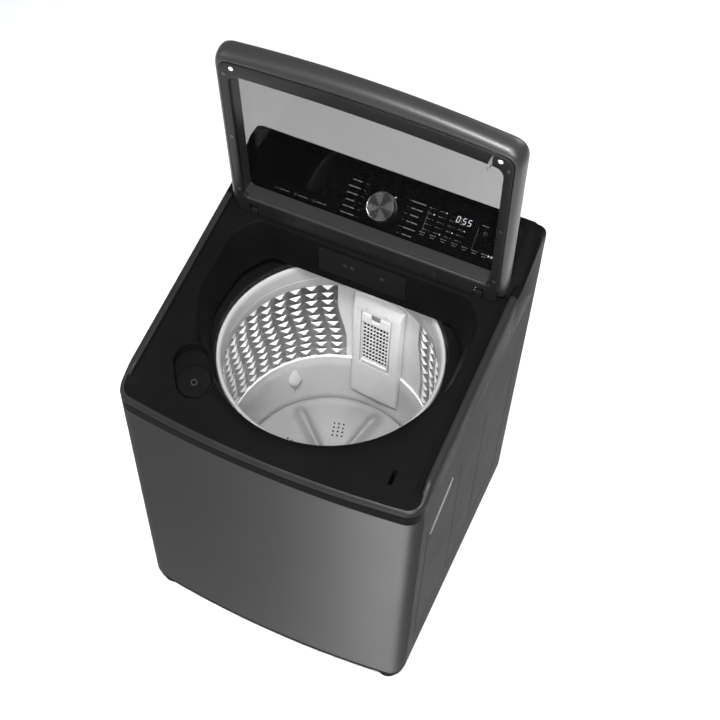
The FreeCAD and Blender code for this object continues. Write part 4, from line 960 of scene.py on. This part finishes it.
def teardrop(index, angle):
    """Raised drop on the bowl: full at the top, thinning downwards."""
    rings = []
    for share in np.linspace(0, 1, 21):
        z = 376 - 84 * share
        swell = math.sin(math.pi * min(share / 0.62, 1) / 2) ** 0.62
        wide = 18.5 * swell * (1 - smooth_step(0.42, 1.0, share) * 0.94) + 0.2
        radius = 223.4 - (345 - z) * 0.084
        ring = []
        for t in np.linspace(-1, 1, 17):
            rise = 13.5 * math.sqrt(max(0, 1 - t * t)) * wide / 18.5
            ring.append(drum_point(radius + 1.2 - rise, angle + t * wide / 222, z))
        rings.append(ring)
    loft(f"bowl_drop_{index}", rings, basket_mat, "basket")


for index, degrees in enumerate((17, 137, 197, 257, 317)):
    teardrop(index + 1, math.radians(degrees))


def pulsator():
    """Wave plate: a round dome in the middle and six soft fins running out."""
    edge = [209, 211.4, 213, 213.8, 214]
    radii = np.concatenate([np.linspace(6.2, 34, 12), np.linspace(36, 206, 60), edge])
    angles = np.linspace(0, 2 * math.pi, 289)[:-1]
    rings = []
    for r in radii:
        ring = []
        for angle in angles:
            base = 258 + 26 * math.exp(-(r / 46) ** 2) + 3.0 * math.exp(-((r - 205) / 9) ** 2)
            fin = 0.0
            for k in range(6):
                away = (angle - math.radians(18 + 60 * k) + math.pi) % (2 * math.pi) - math.pi
                across = away * r
                width = 8 + 8 * r / 214
                fin = max(fin, math.exp(-(across / width) ** 2) * (1 + 0.25 * math.tanh(across / width)))
            rise = 21 * fin * smooth_step(14, 60, r) * (1 - smooth_step(168, 206, r))
            drop = max(0, r - 208) ** 1.7 * 0.22
            ring.append(drum_point(r, angle, base + float(rise) - drop))
        rings.append(ring)
    under = [[(p[0], p[1], 253.0) for p in rings[-1]], [(p[0], p[1], 253.0) for p in rings[0]]]
    loft("pulsator_plate", rings + under, pulsator_mat, "pulsator", ("pulsator",), wrap_rows=True, sharp=50)
    # Thin dark discs laid on the plate where its holes would be: painted shade standing in for the open
    # holes.
    verts, faces = [], []
    for middle in (46, 106, 226, 286, 166, 346):
        for row in range(4):
            for column in range(3):
                r = 104 + row * 11
                angle = math.radians(middle) + (column - 1) * 11 / r
                start = len(verts)
                for level, size in ((0.7, 2.3), (0.9, 1.9)):
                    for a in np.linspace(0, 2 * math.pi, 11)[:-1]:
                        x, y, _ = drum_point(r + size * math.cos(a), angle + size * math.sin(a) / r, 0)
                        verts.append((x, y, 258.1 + level * 0.3))
                faces += prism_faces(start, 10)
    piece("pulsator_hole_shade", verts, faces, rubber_mat, "pulsator")


pulsator()


def channel_point(x, y, z):
    """Turn a point modelled behind the axis to where the channel stands."""
    c, s = math.cos(TURN), math.sin(TURN)
    return (x * c - y * s, AXIS_Y + x * s + y * c, z)


def channel_block(name, outline, y_back, y_front, mat, body, ease=1.0, stands_for=()):
    """Upright plate with an eased front edge; the outline is x and z."""
    outline = np.array(outline, float)
    middle = (outline.max(axis=0) + outline.min(axis=0)) / 2
    rings = []
    for inset, y in ((0, y_back), (0, y_front + ease), (ease * 0.3, y_front + ease * 0.3), (ease, y_front)):
        ring = []
        for x, z in outline:
            px = x - math.copysign(min(inset, abs(x - middle[0])), x - middle[0])
            pz = z - math.copysign(min(inset, abs(z - middle[1])), z - middle[1])
            ring.append(channel_point(px, y, pz))
        rings.append(ring)
    return loft(name, rings, mat, body, stands_for)


def rect(x0, x1, z0, z1, r):
    return rounded_path([(x0, z0), (x1, z0), (x1, z1), (x0, z1)], r, 4)


def channel():
    """Water channel up the wall, with its filter, grille and latch."""
    profile = [(-62, 0), (-61, -6), (-58, -9.5), (-53, -11), (53, -11), (58, -9.5), (61, -6), (62, 0)]
    rings = []
    for z, lift in ((302, 9), (306, 2.5), (314, 0.8), (330, 0), (420, 0), (560, 0), (640, 0),
                    (652, 3), (659, 8), (662, 13)):
        wall = 214 + 12 * float(smooth_step(296, 404, z))
        front = 200 + lift
        ring = []
        for x, y in profile:
            share = -y / 11
            back = math.sqrt(wall * wall - x * x)
            ring.append(channel_point(x, back + (min(front, back - 0.5) - back) * share, z))
        ring += [channel_point(x, math.sqrt(wall * wall - x * x) + 1.2, z) for x in (50, 25, 0, -25, -50)]
        rings.append(ring)
    panel = loft("channel_cover", rings, filter_mat, "basket", ("channel_panel",))
    carve(panel, [block((-37.5, 37.5), (180, 213.5), (435.5, 629.5), channel_point)])
    filter_frame = channel_block("filter_frame", rect(-35.6, 35.6, 440.5, 627.6, 7), 208, 198.6, filter_mat,
                                 "filter", 1.6, ("lint_filter",))
    window = block((-31.5, 31.5), (190, 230), (452, 596), channel_point)
    latch_room = block((-10.8, 10.8), (190, 230), (606.5, 640), channel_point)
    carve(filter_frame, [window, latch_room])
    verts, cells = [], []

    def rod(y_back, y_front, corners):
        cells.extend(prism_faces(len(verts), 4))
        verts.extend(channel_point(a, y, c) for y in (y_back, y_front) for a, c in corners)

    column_pitch = 7.97
    for index in range(11):
        z = 454 + index * 13.4
        for column in range(8):
            x = -27.9 + column_pitch * column
            rod(205.4, 202.4, [(x - 4, z - 1.6), (x + 4, z + 2.2), (x + 4, z + 4.2), (x - 4, z + 0.4)])
    for column in range(9):
        x = -31.9 + column_pitch * column
        rod(206, 202, [(x - 0.8, 450), (x + 0.8, 450), (x + 0.8, 598), (x - 0.8, 598)])
    piece("filter_grille", verts, cells, filter_mat, "filter")
    channel_block("filter_backing", rect(-33, 33, 450, 598, 2), 207.6, 206.6, rubber_mat, "filter", 0.3)
    channel_block("latch_button", rect(-9.8, 9.8, 614.2, 626, 3), 206, 199.2, latch_mat, "latch", 1.2,
                  ("filter_latch",))
    for index, x in enumerate((-24, 24)):
        channel_block(f"channel_rivet_{index + 1}", rect(x - 3, x + 3, 638, 644, 3), 202, 199.4, basket_mat,
                      "basket", 0.6)


channel()


# ------------------------------------------------------------------ small parts
def cap_mark():
    """Plain round sign on the bleach cap."""
    verts, faces = [], []
    angles = np.linspace(0, 2 * math.pi, 25)
    for a, b in zip(angles, angles[1:]):
        faces += prism_faces(len(verts), 4)
        for level in (-4.05, -3.85):
            for r, t in ((5.2, a), (6.0, a), (6.0, b), (5.2, b)):
                x, y = -188 + r * math.cos(t), -232 + r * math.sin(t)
                verts.append((x, y, deck(y) + level))
    piece("cap_mark", verts, faces, mark_mat, "cap")


cap_mark()


def grip_highlight_ring(side):
    """Thin lighter ring round the side grip's edge: a painted highlight along the rim of the recess."""
    lean = math.radians(26)
    rings = []
    for radius, x in ((14.9, 318.2), (14.9, 319.7), (14.4, 319.95), (13.8, 319.95), (13.3, 319.7),
                      (13.3, 318.2)):
        ring = []
        for end in (1, -1):
            for angle in np.linspace(-math.pi / 2, math.pi / 2, 13):
                along = end * (46 + radius * math.cos(angle))
                across = end * radius * math.sin(angle)
                ring.append((side * x, -176 + along * math.cos(lean) - across * math.sin(lean),
                             622 + along * math.sin(lean) + across * math.cos(lean)))
        rings.append(ring)
    loft(f"grip_edge_painted_highlight_{'left' if side < 0 else 'right'}", rings, grip_rim_highlight_mat, "cabinet", wrap_rows=True)


for side in (-1, 1):
    grip_highlight_ring(side)


def drawer_marks():
    """Two faint plain symbols on the drawer front."""
    verts, faces = [], []

    def slab(x0, x1, z0, z1):
        faces.extend(prism_faces(len(verts), 4))
        outline = ((x0, z0), (x1, z0), (x1, z1), (x0, z1))
        verts.extend((x, depth, z) for depth in (130.75, 131.05) for x, z in outline)

    for x in (-38, -22, 44):
        for step in range(5):
            slab(x - 4 + step * 2, x - 3 + step * 2, 836 + abs(step - 2), 846 - abs(step - 2) * 1.5)
    piece("drawer_marks", verts, faces, mark_mat, "drawer")


drawer_marks()

# ------------------------------------------------------------------ stage and light
floor_mat = finish("pale_floor", (0.92, 0.92, 0.92), 0.7, grain=60, bump=0.01, spread=0.01, edge=0)
floor_data = bpy.data.meshes.new("floor")
floor_data.from_pydata([(-9, -9, 0), (9, -9, 0), (9, 9, 0), (-9, 9, 0)], [], [(0, 1, 2, 3)])
floor_data.materials.append(floor_mat)
floor = add_object("floor", floor_data)

world = bpy.data.worlds.new("world")
scene.world = world
world.use_nodes = True
sky = world.node_tree.nodes["Background"]
sky.inputs["Color"].default_value = (0.95, 0.97, 1.0, 1)
sky.inputs["Strength"].default_value = 0.50


def light(name, place, target, size, power, size_y=None, spread=180):
    data = bpy.data.lights.new(name, "AREA")
    data.shape = "RECTANGLE"
    data.size = size
    data.size_y = size_y or size
    data.energy = power
    data.spread = math.radians(spread)
    obj = add_object(name, data)
    obj.location = place
    obj.rotation_euler = (Vector(target) - Vector(place)).to_track_quat("-Z", "Y").to_euler()


light("key_front_right", (2.2, -3.2, 3.4), (0.2, -0.6, 0.2), 2.4, 50)
light("drum_top", (0.35, -1.25, 3.7), (0, 0.05, 0.5), 0.9, 13, 0.7, 50)
light("drum_front", (1.2, -2.2, 3.0), (0, 0.1, 0.5), 1.1, 9, 0.8, 60)
light("front_low", (0.4, -3.2, 0.6), (0.1, -0.3, 0.45), 0.7, 30, 1.0)
light("left_fill", (-3.4, -1.6, 3.0), (0, 0, 0.2), 2.4, 44)
light("back_fill", (1.4, 3.6, 3.2), (-1.0, 2.0, 0.0), 2.4, 110)

scene.view_settings.view_transform = "Standard"
